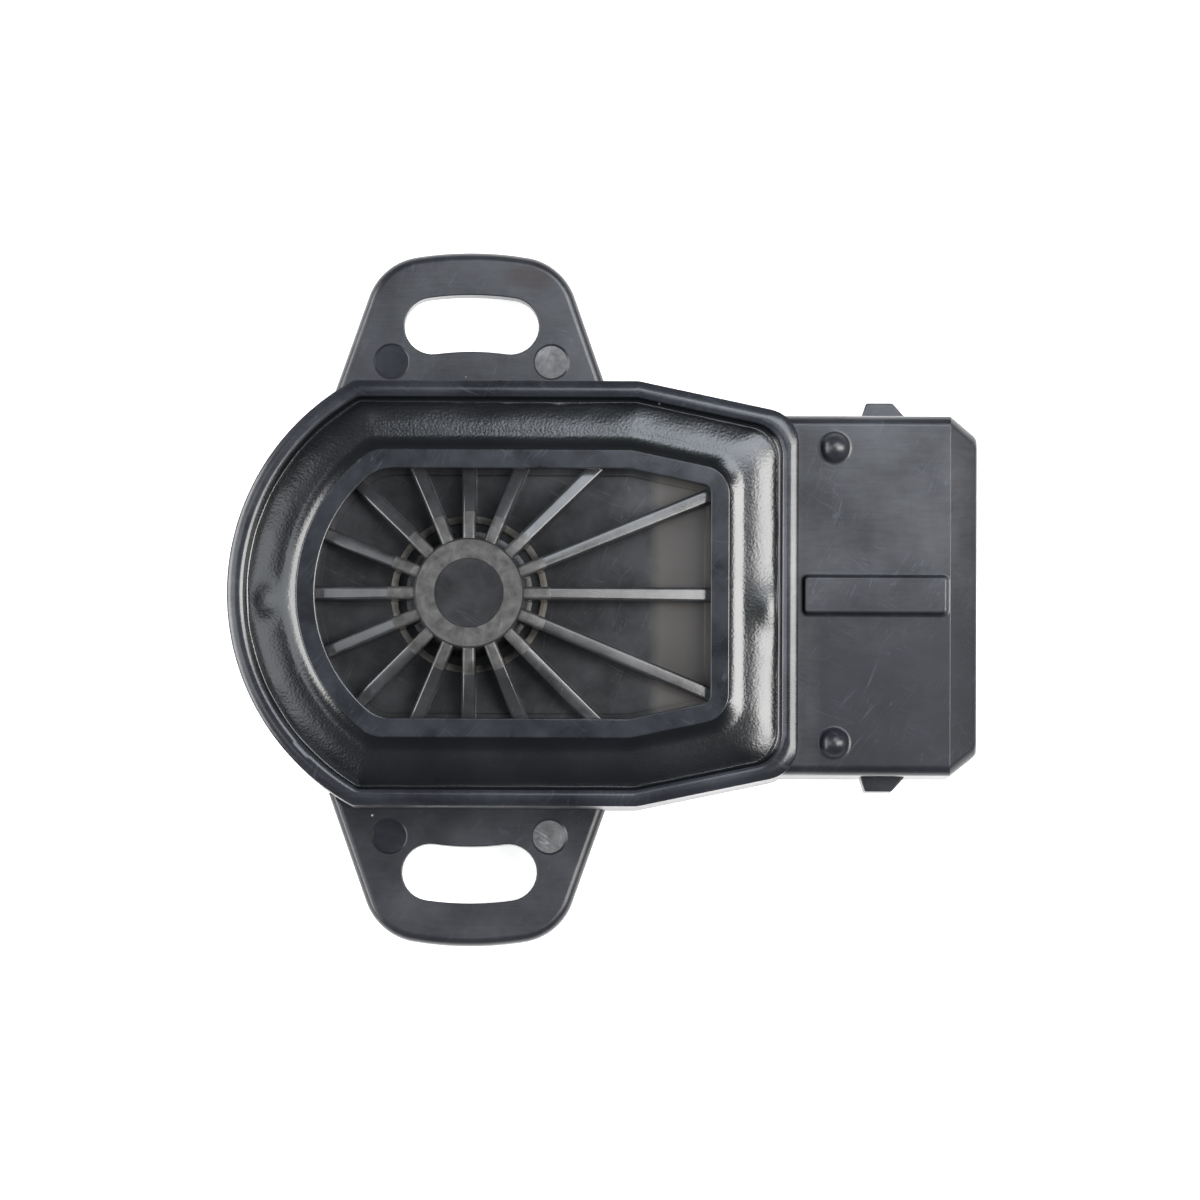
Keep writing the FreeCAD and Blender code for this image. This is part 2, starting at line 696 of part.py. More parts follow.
def cover_rib(degrees):
    """One radial rib: level beside the hub, then sloping down to the rim."""
    start = COVER_HUB_RADIUS - RIB_WIDTH
    level = COVER_HUB_TOP - RIB_STEP
    flat_end = COVER_HUB_RADIUS + RIB_FLAT
    end = outline_distance(degrees, COVER_FLOOR_INSET) + COVER_RIM / 2
    end_top = COVER_TOP - RIB_END_DROP
    side = [
        (start, COVER_SEAT + COVER_FLANGE / 2),
        (end, COVER_SEAT + COVER_FLANGE / 2),
        (end, end_top),
        (flat_end, level),
        (start, level),
    ]
    corners = [V(x, -RIB_WIDTH / 2, z) for x, z in side]
    rib = Part.Face(Part.makePolygon(corners + corners[:1])).extrude(V(0, RIB_WIDTH, 0))
    rib.rotate(V(), AXIS, degrees)
    return rib


def clamp_rails():
    """Rails under the cover that press the board onto its ledge."""
    side = CASE_HALF_WIDTH - CLAMP_INSET
    end = CASE_LENGTH - CLAMP_INSET
    flank = block(
        -CLAMP_BACK, TAPER_START - CLAMP_WALL, side - CLAMP_WALL, side, BOARD_TOP, COVER_SEAT,
    )
    across = block(end - CLAMP_WALL, end, -2 * PITCH, 2 * PITCH, BOARD_TOP, COVER_SEAT)
    return [flank, mirrored(flank), across]


def rear_cover():
    """Ribbed cover that clamps the board and carries the rotor's upper pin."""
    cover = prism(FLANGE_INSET, COVER_SEAT, COVER_FLOOR)
    groove_outer = COVER_HUB_BASE + HUB_GROOVE
    groove = ring(COVER_HUB_BASE, groove_outer, COVER_FLOOR - HUB_GROOVE_DEPTH, COVER_FLOOR)
    rim = wall(RIM_INSET, COVER_FLOOR_INSET, COVER_FLOOR, COVER_TOP)
    hub = Part.makeCone(
        COVER_HUB_BASE, COVER_HUB_RADIUS, COVER_HUB_TOP - COVER_FLOOR, V(0, 0, COVER_FLOOR),
    )
    ribs = [cover_rib(number * 360 / RIB_COUNT) for number in range(RIB_COUNT)]
    cover = cover.cut(groove).fuse([rim, hub] + clamp_rails() + ribs)
    bore_top = COVER_SEAT + PIN_ENGAGEMENT + PIN_END_CLEARANCE
    cover = cover.cut(rod(PIN_RADIUS + PIN_CLEARANCE, COVER_SEAT, bore_top))
    return cover.removeSplitter()


def meniscus(climb, width, step):
    """Height and distance from its wall of one point on a curve that climbs it."""
    share = step / MENISCUS_STEPS
    return width * share, climb * (1 - math.sqrt(1 - (1 - share) ** 2))


def potting_resin():
    """Resin cast in the channel, climbing the case wall and the cover's rim."""
    bed = COVER_FLOOR + RESIN_DEPTH
    profile = [(RIM_INSET, COVER_FLOOR), (RIM_WALL, COVER_FLOOR)]
    for step in range(MENISCUS_STEPS + 1):
        away, rise = meniscus(WALL_CLIMB, WALL_MENISCUS, step)
        profile.append((RIM_WALL + away, bed + rise))
    for step in reversed(range(MENISCUS_STEPS + 1)):
        away, rise = meniscus(RIM_CLIMB, RIM_MENISCUS, step)
        profile.append((RIM_INSET - away, bed + rise))
    return band(profile)


def export(name, shape):
    shape.exportStep(os.path.join("parts", name + ".step"))


def main():
    os.makedirs("parts", exist_ok=True)
    export("housing", housing())
    export("rear_cover", rear_cover())
    export("potting_resin", potting_resin())
    export("resistor_board", resistor_board())
    export("resistor_track", resistor_track())
    export("collector_tracks", collector_tracks())
    export("idle_track", idle_track())
    export("solder_pads", solder_pads())
    export("solder_joints", solder_joints())
    for place, name in enumerate(TERMINAL_NAMES):
        export("terminal_" + name, terminal(place))
    export("rotor", rotor())
    export("rotor_seal", rotor_seal())
    export("thrust_washer", thrust_washer())
    export("return_spring", return_spring())
    export("wiper_signal", wiper(SIGNAL_ANGLE))
    export("wiper_idle", wiper(IDLE_ANGLE))


main()
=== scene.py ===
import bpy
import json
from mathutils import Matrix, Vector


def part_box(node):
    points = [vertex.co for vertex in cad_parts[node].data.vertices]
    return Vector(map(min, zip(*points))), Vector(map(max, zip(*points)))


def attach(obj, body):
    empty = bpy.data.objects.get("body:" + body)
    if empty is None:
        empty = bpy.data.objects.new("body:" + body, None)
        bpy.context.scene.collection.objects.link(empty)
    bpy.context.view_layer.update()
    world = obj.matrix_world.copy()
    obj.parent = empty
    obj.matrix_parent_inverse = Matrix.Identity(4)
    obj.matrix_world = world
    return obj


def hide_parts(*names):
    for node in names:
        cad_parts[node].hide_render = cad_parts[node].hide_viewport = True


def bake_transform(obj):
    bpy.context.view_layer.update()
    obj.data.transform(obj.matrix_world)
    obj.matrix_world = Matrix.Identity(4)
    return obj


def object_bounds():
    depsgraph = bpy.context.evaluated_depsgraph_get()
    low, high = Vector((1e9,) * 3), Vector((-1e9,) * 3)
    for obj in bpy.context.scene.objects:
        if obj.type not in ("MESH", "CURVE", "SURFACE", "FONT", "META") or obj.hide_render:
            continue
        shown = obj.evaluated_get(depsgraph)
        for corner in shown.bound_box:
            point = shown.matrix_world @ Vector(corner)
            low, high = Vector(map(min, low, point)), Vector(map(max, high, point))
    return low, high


bl_info = {
    "name": "Throttle position sensor",
    "version": (1, 0, 0),
    "blender": (4, 5, 0),
    "location": "3D View > Sidebar > Sensor",
    "description": "Models and finishes a rotary throttle position sensor around its frame",
    "category": "Object",
}

import json
import math

import bmesh
import bpy
from bpy.props import FloatProperty, FloatVectorProperty, IntProperty, PointerProperty
from mathutils import Matrix, Vector, noise

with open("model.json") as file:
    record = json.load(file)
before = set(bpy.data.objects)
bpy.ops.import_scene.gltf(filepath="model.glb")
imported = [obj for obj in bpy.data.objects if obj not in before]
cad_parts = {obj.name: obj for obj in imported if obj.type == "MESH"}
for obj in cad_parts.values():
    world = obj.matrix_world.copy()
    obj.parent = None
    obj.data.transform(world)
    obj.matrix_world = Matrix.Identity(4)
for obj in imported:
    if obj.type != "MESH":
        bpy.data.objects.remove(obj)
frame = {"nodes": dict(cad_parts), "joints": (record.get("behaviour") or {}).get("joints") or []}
CAD_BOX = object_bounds()

MM = 0.001
UP = Vector((0.0, 0.0, 1.0))
QUARTER = math.pi / 2
TINY = 1e-7
WHITE = (1.0, 1.0, 1.0)
WARM_WHITE = (1.0, 0.99, 0.98)
COOL_WHITE = (0.92, 0.96, 1.0)
SKY_BLUE = (0.86, 0.92, 1.0)
HORIZON_GLOW = (1.0, 0.92, 0.82)
DUST = (0.5, 0.5, 0.48)

HOUSING_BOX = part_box("housing")
COVER_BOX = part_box("rear_cover")
RESIN_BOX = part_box("potting_resin")
ROTOR_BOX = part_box("rotor")
TERMINAL_NAMES = ("terminal_ground", "terminal_idle", "terminal_signal", "terminal_supply")


def length(name, description, metres):
    return FloatProperty(
        name=name, description=description, default=metres, unit="LENGTH", subtype="DISTANCE",
    )


def angle(name, description, degrees):
    return FloatProperty(
        name=name, description=description, default=math.radians(degrees),
        unit="ROTATION", subtype="ANGLE",
    )


def pair(name, description, along_x, along_y):
    return FloatVectorProperty(
        name=name, description=description, default=(along_x, along_y), size=2, unit="LENGTH",
    )


def colour(name, description, rgb):
    return FloatVectorProperty(
        name=name, description=description, default=rgb, size=3, min=0.0, max=1.0, subtype="COLOR",
    )


class CaseSizes(bpy.types.PropertyGroup):
    radius: length("Radius", "Round end of the case", 19.85 * MM)
    half_width: length("Half width", "Rotor axis to the flank", 17.45 * MM)
    length: length("Length", "Rotor axis to the connector end", 27.0 * MM)
    taper_start: length("Taper start", "Where the flanks begin to close in", 13.85 * MM)
    taper_angle: angle("Taper", "Slant of the tapered flanks", 11.9)
    top: length("Top", "Height of the rim", HOUSING_BOX[1].z)
    floor: length("Floor", "Thickness of the cup's floor", 2.6 * MM)
    end_corner: length("End corner", "Outer radius beside the connector", 2.9 * MM)
    back_corner: length("Back corner", "Outer radius where round end and flank meet", 0.9 * MM)
    knee_round: length("Knee round", "Radius where the flank turns to its taper", 1.5 * MM)
    foot: length("Foot", "Chamfer round the underside", 0.3 * MM)
    rim_wall: length("Rim wall", "Thickness of the wall at the rim", 1.3 * MM)
    rim_crown: length("Rim crown", "Width of the rim's crowned outer part", 0.8 * MM)
    rim_fall: length("Rim fall", "How far the crown falls to the outer edge", 0.25 * MM)
    rim_chamfer: length("Rim chamfer", "Width of the chamfer on the rim's inner edge", 0.35 * MM)
    rim_chamfer_drop: length("Rim chamfer drop", "Depth of that chamfer", 0.2 * MM)
    shelf: length("Shelf", "Inset of the wall under the cover's flange", 2.6 * MM)
    ledge: length("Ledge", "Inset of the wall under the board", 3.8 * MM)
    board_seat: length("Board seat", "Height of the ledge that carries the board", 9.8 * MM)


class EarSizes(bpy.types.PropertyGroup):
    thickness: length("Thickness", "Thickness of a mounting ear", 4.0 * MM)
    slot_radius: length("Slot radius", "Rotor axis to the slot's middle", 22.9 * MM)
    slot_width: length("Slot width", "Width of the adjusting slot", 4.7 * MM)
    slot_half_angle: angle("Slot half angle", "Half the slot's sweep", 8.1)
    reach: length("Reach", "Rotor axis to the ear's outer edge", HOUSING_BOX[1].y)
    side: length("Side", "Width of the ear beside the slot", 3.75 * MM)
    flare: angle("Flare", "Slant of the ear's sides", 19.4)
    corner: length("Corner", "Radius of the ear's outer corners", 5.0 * MM)
    edge_round: length("Edge round", "Rounding of the upper outer edge", 0.75 * MM)
    slot_round: length("Slot round", "Rounding of the slot's edges", 0.1 * MM)
    pin_mark_radius: length("Pin mark radius", "Radius of the ejector pin marks", 1.35 * MM)
    pin_mark_x: length("Pin mark offset", "Ejector pin marks beside the middle line", 6.6 * MM)
    pin_mark_y: length("Pin mark distance", "Ejector pin marks from the rotor axis", 19.7 * MM)
    pin_mark_depth: length("Pin mark depth", "Depth of the ejector pin marks", 0.12 * MM)
    pin_mark_lip: length("Pin mark lip", "Width of the marks' sloping lip", 0.16 * MM)
    pin_mark_lean: angle("Pin mark lean", "How far the marks lean outwards", 1.2)
    stain_place: pair("Stain place", "Middle of the stain on the upper ear", 4.8 * MM, 26.7 * MM)
    stain_radius: length("Stain radius", "Half the stain's length", 1.9 * MM)


class ShroudSizes(bpy.types.PropertyGroup):
    mouth: length("Mouth", "Rotor axis to the mouth", HOUSING_BOX[1].x)
    root: length("Root", "How far the shroud reaches into the case's end", 3.0 * MM)
    half_width: length("Half width", "Half the shroud's width", 14.8 * MM)
    bottom: length("Bottom", "Height of the lower wall", 0.5 * MM)
    height: length("Height", "Height of the shroud", 14.0 * MM)
    wall: length("Wall", "Upper and lower wall", 2.0 * MM)
    side_wall: length("Side wall", "Side walls", 2.2 * MM)
    edge: length("Edge", "Rounding of the long edges", 0.9 * MM)
    lead: length("Lead", "Length of the tapered mouth", 2.2 * MM)
    side_taper: length("Side taper", "Mouth taper at the sides", 1.75 * MM)
    top_taper: length("Top taper", "Mouth taper above and below", 1.4 * MM)
    bulkhead: length("Bulkhead", "Case end to the socket's floor", 1.5 * MM)
    key_width: length("Key width", "Width of the key rib", 3.0 * MM)
    key_height: length("Key height", "Height of the key rib", 1.0 * MM)
    key_back: length("Key back", "Case end to the key rib", 0.5 * MM)
    key_front: length("Key front", "Key rib to the mouth", 2.5 * MM)
    key_corner: length("Key corner", "Radius of the key rib's upright corners", 0.3 * MM)
    key_foot: length("Key foot", "Fillet at the key rib's foot", 0.3 * MM)
    key_edge: length("Key edge", "Rounding of the key rib's upper edge", 0.18 * MM)
    bump_radius: length("Bump radius", "Radius of the two bumps", 1.225 * MM)
    bump_height: length("Bump height", "Height of the two bumps", 0.7 * MM)
    bump_back: length("Bump back", "Middle of the bumps to the mouth", 11.7 * MM)
    bump_side: length("Bump side", "Middle of a bump to the shroud's side", 2.66 * MM)
    latch_height: length("Latch height", "How far the latch lugs stand out", 1.24 * MM)
    latch_tall: length("Latch tall", "Height of the latch lugs", 6.0 * MM)
    latch_back: length("Latch back", "Back of the latch lugs to the mouth", 9.5 * MM)
    latch_long: length("Latch long", "Length of the latch lugs", 3.7 * MM)
    latch_ramp: length("Latch ramp", "Length of the latch lugs' ramp", 1.1 * MM)
    latch_heel: length("Latch heel", "Length of the latch lugs' steep back", 0.4 * MM)
    latch_round: length("Latch round", "Rounding of the latch lugs' edges", 0.16 * MM)


class CoverSizes(bpy.types.PropertyGroup):
    seat: length("Seat", "Height of the flange's underside", RESIN_BOX[0].z - 1.2 * MM)
    floor: length("Floor", "Height of the recessed floor", RESIN_BOX[0].z)
    top: length("Top", "Height of the rim", RESIN_BOX[0].z + 3.0 * MM)
    flange_inset: length("Flange inset", "Case outline to the flange", 1.45 * MM)
    rim_inset: length("Rim inset", "Case outline to the rim", 5.6 * MM)
    rim_width: length("Rim width", "Width of the rim", 1.6 * MM)
    rim_corner: length("Rim corner", "Outer radius of the rim's corners", 2.4 * MM)
    floor_corner: length("Floor corner", "Radius of the recessed floor's corners", 0.7 * MM)
    ledge_width: length("Ledge width", "Low ledge along the foot of the rim", 0.5 * MM)
    ledge_height: length("Ledge height", "Height of that ledge", 0.2 * MM)
    ledge_chamfer: length("Ledge chamfer", "Chamfer on that ledge", 0.1 * MM)
    hub_top: length("Hub top", "Height of the hub", COVER_BOX[1].z)
    hub_radius: length("Hub radius", "Upper radius of the hub", 4.5 * MM)
    hub_base: length("Hub base", "Lower radius of the hub", 5.2 * MM)
    hub_edge: length("Hub edge", "Chamfer on the hub's edge", 0.12 * MM)
    disc_radius: length("Disc radius", "Sunk disc in the hub", 2.82 * MM)
    disc_depth: length("Disc depth", "Depth of the sunk disc", 0.1 * MM)
    disc_slope: length("Disc slope", "Width of the sunk disc's sloping edge", 0.05 * MM)
    groove_outer: length("Groove", "Outer radius of the groove round the hub", 5.9 * MM)
    groove_lip: length("Groove lip", "Outer radius of the groove's chamfer", 6.45 * MM)
    groove_depth: length("Groove depth", "Depth of the groove", 0.6 * MM)
    lip_depth: length("Lip depth", "Depth of the groove's chamfer", 0.2 * MM)
    rib_count: IntProperty(name="Ribs", description="Number of radial ribs", default=16, min=3)
    rib_width: length("Rib width", "Width of a rib's crest", 1.05 * MM)
    rib_foot: length("Rib foot", "Width of a rib at the floor", 1.3 * MM)
    rib_flat: length("Rib flat", "Radius where a rib starts to slope", 6.7 * MM)
    rib_step: length("Rib step", "How far a rib lies under the hub", 0.25 * MM)
    rib_drop: length("Rib drop", "How far a rib's end lies under the rim", 1.7 * MM)
    rib_round: length("Rib round", "Rounding of a rib's upper edges", 0.24 * MM)
    rail_clearance: length("Rail clearance", "Case wall to the clamp rails", 0.15 * MM)
    rail_width: length("Rail width", "Width of the clamp rails", 1.0 * MM)
    rail_back: length("Rail back", "Back end of the side rails", -6.0 * MM)
    rail_reach: length("Rail reach", "Half the length of the end rail", 10.0 * MM)
    # Where the painted reflection of the right softbox on the floor begins.
    painted_reflection_start: length("Pale start", "Where the floor's pale end begins", 15.2 * MM)


class ResinSizes(bpy.types.PropertyGroup):
    valley: length("Valley", "Lowest height, beside the case wall", 14.75 * MM)
    wall_climb: length("Wall climb", "How far it climbs the case wall", 0.42 * MM)
    wall_curve: length("Wall curve", "Width of the curve at the case wall", 0.36 * MM)
    wander: length("Wander", "How far the valley wanders to and fro", 0.14 * MM)
    broad_climb: length("Broad climb", "Rise of the round back over the valley", 0.50 * MM)
    rim_climb: length("Rim climb", "Further rise up the cover's rim", 0.44 * MM)
    rim_curve: length("Rim curve", "Width of the curve at the cover's rim", 1.3 * MM)
    dip: length("Dip", "Depth of the hollow at the round end", 0.28 * MM)
    swell: length("Swell", "Height of the swelling beside the connector", 0.26 * MM)
    ripple: length("Ripple", "Height of the slow unevenness", 0.02 * MM)
    wander_size: length("Wander size", "Length of the valley's bends", 2.4 * MM)
    ripple_size: length("Ripple size", "Length of the slow unevenness", 3.2 * MM)
    dip_place: pair("Dip place", "Middle of the hollow", -16.7 * MM, -0.6 * MM)
    dip_spread: pair("Dip spread", "Half width and half length of the hollow", 1.2 * MM, 1.4 * MM)
    swell_place: pair("Swell place", "Middle of the swelling", 25.2 * MM, -0.9 * MM)
    swell_spread: pair("Swell spread", "Half width and half length of the swelling", 1.5 * MM, 1.8 * MM)


class InnerSizes(bpy.types.PropertyGroup):
    spigot_radius: length("Spigot radius", "Pilot ring on the underside", 12.5 * MM)
    spigot_wall: length("Spigot wall", "Wall of the pilot ring", 2.0 * MM)
    tube_radius: length("Tube radius", "Outside of the bearing tube", 8.15 * MM)
    bore_radius: length("Bore radius", "Bore of the bearing tube", 6.55 * MM)
    tube_end: length("Tube end", "Lower end of the bearing tube", -2.6 * MM)
    tube_top: length("Tube top", "Upper end of the bearing tube", 4.2 * MM)
    journal_radius: length("Journal radius", "Rotor in its bearing", 6.5 * MM)
    journal_end: length("Journal end", "Lower end of the rotor", ROTOR_BOX[0].z)
    hub_radius: length("Hub radius", "Rotor above its shoulder", 8.2 * MM)
    shoulder: length("Shoulder", "Height of the rotor's shoulder", 4.65 * MM)
    flange_bottom: length("Flange bottom", "Underside of the rotor's flange", 7.4 * MM)
    flange_top: length("Flange top", "Top of the rotor's flange", 8.6 * MM)
    flange_radius: length("Flange radius", "Radius of the rotor's flange", 12.2 * MM)
    pin_radius: length("Pin radius", "Rotor's upper pin", 1.5 * MM)
    pin_clearance: length("Pin clearance", "Gap round the upper pin", 0.05 * MM)
    pin_room: length("Pin room", "Gap over the upper pin", 0.4 * MM)
    seal_depth: length("Seal depth", "Depth of the seal's groove", 1.0 * MM)
    seal_half: length("Seal half", "Half the width of the seal's groove", 0.52 * MM)
    drive_radius: length("Drive radius", "Half the length of the drive slot", 4.2 * MM)
    drive_width: length("Drive width", "Width of the drive slot", 4.6 * MM)
    drive_depth: length("Drive depth", "Depth of the drive slot", 7.0 * MM)
    drive_corner: length("Drive corner", "Corner radius of the drive slot", 1.0 * MM)
    drive_lead: length("Drive lead", "Chamfer at the drive slot's mouth", 0.3 * MM)
    lug_inner: length("Lug inner", "Inner radius of the stop lug", 10.45 * MM)
    lug_outer: length("Lug outer", "Outer radius of the stop lug", 12.05 * MM)
    lug_drop: length("Lug drop", "How far the stop lug hangs under the flange", 3.0 * MM)
    lug_angle: angle("Lug angle", "Where the stop lug stands at rest", 125.0)
    lug_width: angle("Lug width", "Sweep of the stop lug", 18.0)
    stop_width: angle("Stop width", "Sweep of a stop post", 14.0)
    stop_play: angle("Stop play", "Play between lug and post", 1.5)
    stop_gap: length("Stop gap", "Stop posts to the rotor's flange", 1.2 * MM)
    spring_radius: length("Spring radius", "Middle of the spring's turns", 9.2 * MM)
    spring_wire: length("Spring wire", "Diameter of the spring's wire", 0.7 * MM)
    spring_gap: length("Spring gap", "Spring leg to the stop lug's inner face", 0.15 * MM)
    spring_turns: IntProperty(name="Turns", description="Whole turns of the spring", default=3, min=1)


class TerminalSizes(bpy.types.PropertyGroup):
    width: length("Width", "Width of a blade", 2.8 * MM)
    thickness: length("Thickness", "Thickness of a blade", 0.8 * MM)
    tip_width: length("Tip width", "Width of a blade's tip", 1.4 * MM)
    point: length("Point", "Length of a blade's point", 1.2 * MM)
    edge_round: length("Edge round", "Rounding of a blade's edges", 0.12 * MM)
    lead_width: length("Lead width", "Width of the lead and the leg", 1.0 * MM)


class Finishes(bpy.types.PropertyGroup):
    housing: colour("Housing", "Moulded case", (0.0125, 0.0135, 0.0175))
    cover: colour("Cover", "Moulded cover", (0.0215, 0.022, 0.0235))
    # Paler grey on the right-hand ejector pin marks: painted light where their tilt catches the lamps; only
    # their dullness is their own.
    pin_mark: colour("Pin mark", "Dull ejector pin marks", (0.070, 0.071, 0.076))
    stain: colour("Stain", "Stain on the upper ear", (0.008, 0.003, 0.003))
    # Pale lip: a painted reflection of the lamps on the groove's chamfer, not the moulding's own colour.
    groove_lip: colour("Groove lip", "Pale lip of the groove round the hub", (0.11, 0.10, 0.085))
    # Rim: a darker copy of the cover moulding, painted shade on the rim's top rather than a polish.
    cover_rim: colour("Cover rim", "Polished rim of the cover", (0.014, 0.0155, 0.019))
    hub_face: colour("Hub face", "Matt ring on the hub", (0.027, 0.0255, 0.0245))
    # Pale floor end: a painted reflection of the right softbox on the cover's floor.
    floor_end_painted_reflection: colour("Floor end", "Pale end of the cover's floor", (0.062, 0.058, 0.055))
    # Rib crests: the lighter tone is a painted highlight on the ribs' level tops, not wear.
    crest: colour("Crest", "Worn crests of the ribs", (0.030, 0.029, 0.028))
    resin: colour("Resin", "Cast resin", (0.0035, 0.004, 0.005))
    rotor: colour("Rotor", "Moulded rotor", (0.16, 0.15, 0.13))
    rubber: colour("Rubber", "Ring seal", (0.02, 0.02, 0.02))
    laminate: colour("Laminate", "Resistor board", (0.32, 0.27, 0.13))
    carbon: colour("Carbon", "Printed resistor track", (0.02, 0.02, 0.022))
    silver: colour("Silver", "Printed silver tracks", (0.62, 0.60, 0.56))
    solder: colour("Solder", "Pads and joints", (0.60, 0.60, 0.60))
    tin: colour("Tin", "Plated terminals", (0.66, 0.64, 0.59))
    bronze: colour("Bronze", "Wiper contacts", (0.72, 0.58, 0.32))
    steel: colour("Steel", "Thrust washer", (0.55, 0.55, 0.55))
    spring: colour("Spring", "Return spring", (0.45, 0.45, 0.46))
    floor: colour("Floor", "Stage floor", (0.80, 0.80, 0.80))


class StageSettings(bpy.types.PropertyGroup):
    aim_x: length("Aim X", "Middle of the picture along X", 10.74 * MM)
    aim_y: length("Aim Y", "Middle of the picture along Y", -0.53 * MM)
    aim_z: length("Aim Z", "Height that the camera aims at", 16.0 * MM)
    distance: length("Distance", "Camera to the aimed point", 1.0)
    tilt: angle("Tilt", "Camera's lean from straight down", 2.3)
    roll: angle("Roll", "Turn of the picture", 0.23)
    right_lean: angle("Right lean", "Right softbox from straight above", 36.5)
    right_distance: length("Right distance", "Right softbox to the sensor", 0.8)
    right_size: pair("Right size", "Right softbox's width and depth", 0.34, 0.60)
    right_brightness: FloatProperty(name="Right", description="Right softbox's brightness", default=11.5)
    left_lean: angle("Left lean", "Left softbox from straight above", 62.0)
    left_distance: length("Left distance", "Left softbox and fill to the sensor", 0.8)
    left_size: pair("Left size", "Left softbox's width and depth", 0.90, 0.28)
    left_brightness: FloatProperty(name="Left", description="Left softbox's brightness", default=8.5)
    fill_lean: angle("Fill lean", "Left fill from straight above", 34.0)
    fill_size: pair("Fill size", "Left fill's width and depth", 0.40, 0.50)
    fill_brightness: FloatProperty(name="Fill", description="Left fill's brightness", default=2.6)
    top_brightness: FloatProperty(name="Top", description="Top panel's brightness", default=6.4)
    top_turn: angle("Top turn", "Turn of the top panel", 33.0)
    top_size: pair("Top size", "Top panel's width and depth", 0.15, 0.06)
    top_place: FloatVectorProperty(
        name="Top place", description="Middle of the top panel", default=(0.078, 0.089, 0.22),
        unit="LENGTH", subtype="TRANSLATION",
    )
    sky_brightness: FloatProperty(name="Sky", description="Brightness overhead", default=0.10)
    horizon_brightness: FloatProperty(name="Horizon", description="Brightness at the horizon", default=0.55)
    horizon_height: angle("Horizon height", "How far up the horizon's brightness reaches", 30.0)
    focal: FloatProperty(
        name="Focal length", description="Focal length on a 36 mm sensor", default=366.0,
        unit="CAMERA",
    )


def line_to(bm, vert, x, y, steps=1):
    """A straight run of edges from vert to (x, y)."""
    start = vert.co.copy()
    end = Vector((x, y, start.z))
    for step in range(1, steps + 1):
        vert = bmesh.ops.extrude_vert_indiv(bm, verts=[vert])["verts"][0]
        vert.co = start.lerp(end, step / steps)
    return vert


def arc_to(bm, vert, centre, turn, steps):
    """A run of edges round a centre, from vert."""
    made = bmesh.ops.spin(
        bm, geom=[vert], cent=(centre[0], centre[1], vert.co.z), axis=UP, angle=turn, steps=steps,
    )
    return next(item for item in made["geom_last"] if isinstance(item, bmesh.types.BMVert))


def corner_to(bm, vert, centre, radius, heading, turn, run_steps, arc_steps):
    """A straight run to a rounded corner and on round it; heading is where its arc starts."""
    x = centre[0] + radius * math.cos(heading)
    y = centre[1] + radius * math.sin(heading)
    vert = line_to(bm, vert, x, y, run_steps)
    return arc_to(bm, vert, centre, turn, arc_steps)


def ring_since(bm, before):
    return [edge for edge in bm.edges if edge not in before]


def close_path(bm, last, first):
    bmesh.ops.contextual_create(bm, geom=[last, first])


def case_ring(bm, case, inset, z, end_corner, back_corner, run_steps=1):
    """The case outline as a closed ring of edges, moved inwards by inset."""
    before = set(bm.edges)
    taper, knee_round = case.taper_angle, case.knee_round
    radius = case.radius - inset
    half = case.half_width - inset
    end = case.length - inset
    reach = case.taper_start * math.sin(taper) + case.half_width * math.cos(taper) - inset
    back_y = half - back_corner
    back_x = -math.sqrt((radius - back_corner) ** 2 - back_y ** 2)
    heading = math.atan2(back_y, back_x)
    knee_y = half - knee_round
    knee_x = (reach - knee_round - knee_y * math.cos(taper)) / math.sin(taper)
    end_x = end - end_corner
    end_y = (reach - end_corner - end_x * math.sin(taper)) / math.cos(taper)
    end_turn = QUARTER - taper
    round_steps, corner_steps, knee_steps = 72, 10, 3

    first = bm.verts.new((radius * math.cos(heading), -radius * math.sin(heading), z))
    vert = arc_to(bm, first, (0.0, 0.0), 2 * heading - 2 * math.pi, round_steps)
    vert = arc_to(bm, vert, (back_x, back_y), QUARTER - heading, corner_steps)
    vert = corner_to(bm, vert, (knee_x, knee_y), knee_round, QUARTER, -taper, 2 * run_steps, knee_steps)
    vert = corner_to(bm, vert, (end_x, end_y), end_corner, end_turn, -end_turn, run_steps, corner_steps)
    vert = corner_to(bm, vert, (end_x, -end_y), end_corner, 0.0, -end_turn, 2 * run_steps, corner_steps)
    vert = corner_to(bm, vert, (knee_x, -knee_y), knee_round, -end_turn, -taper, run_steps, knee_steps)
    last_turn = (QUARTER - heading) * (corner_steps - 1) / corner_steps
    vert = corner_to(
        bm, vert, (back_x, -back_y), back_corner, -QUARTER, last_turn, 2 * run_steps, corner_steps - 1,
    )
    close_path(bm, vert, first)
    return ring_since(bm, before)


def block_ring(bm, centre, half_x, half_y, corner, z):
    """A rounded rectangle as a closed ring of edges."""
    before = set(bm.edges)
    steps = 6
    x, y = half_x - corner, half_y - corner
    first = bm.verts.new((centre[0] + half_x, centre[1] - y, z))
    vert = first
    for number, (side_x, side_y) in enumerate(((1, 1), (-1, 1), (-1, -1), (1, -1))):
        middle = (centre[0] + side_x * x, centre[1] + side_y * y)
        heading = number * QUARTER
        last = number == 3
        count = steps - 1 if last else steps
        vert = corner_to(bm, vert, middle, corner, heading, QUARTER * count / steps, 1, count)
    close_path(bm, vert, first)
    return ring_since(bm, before)


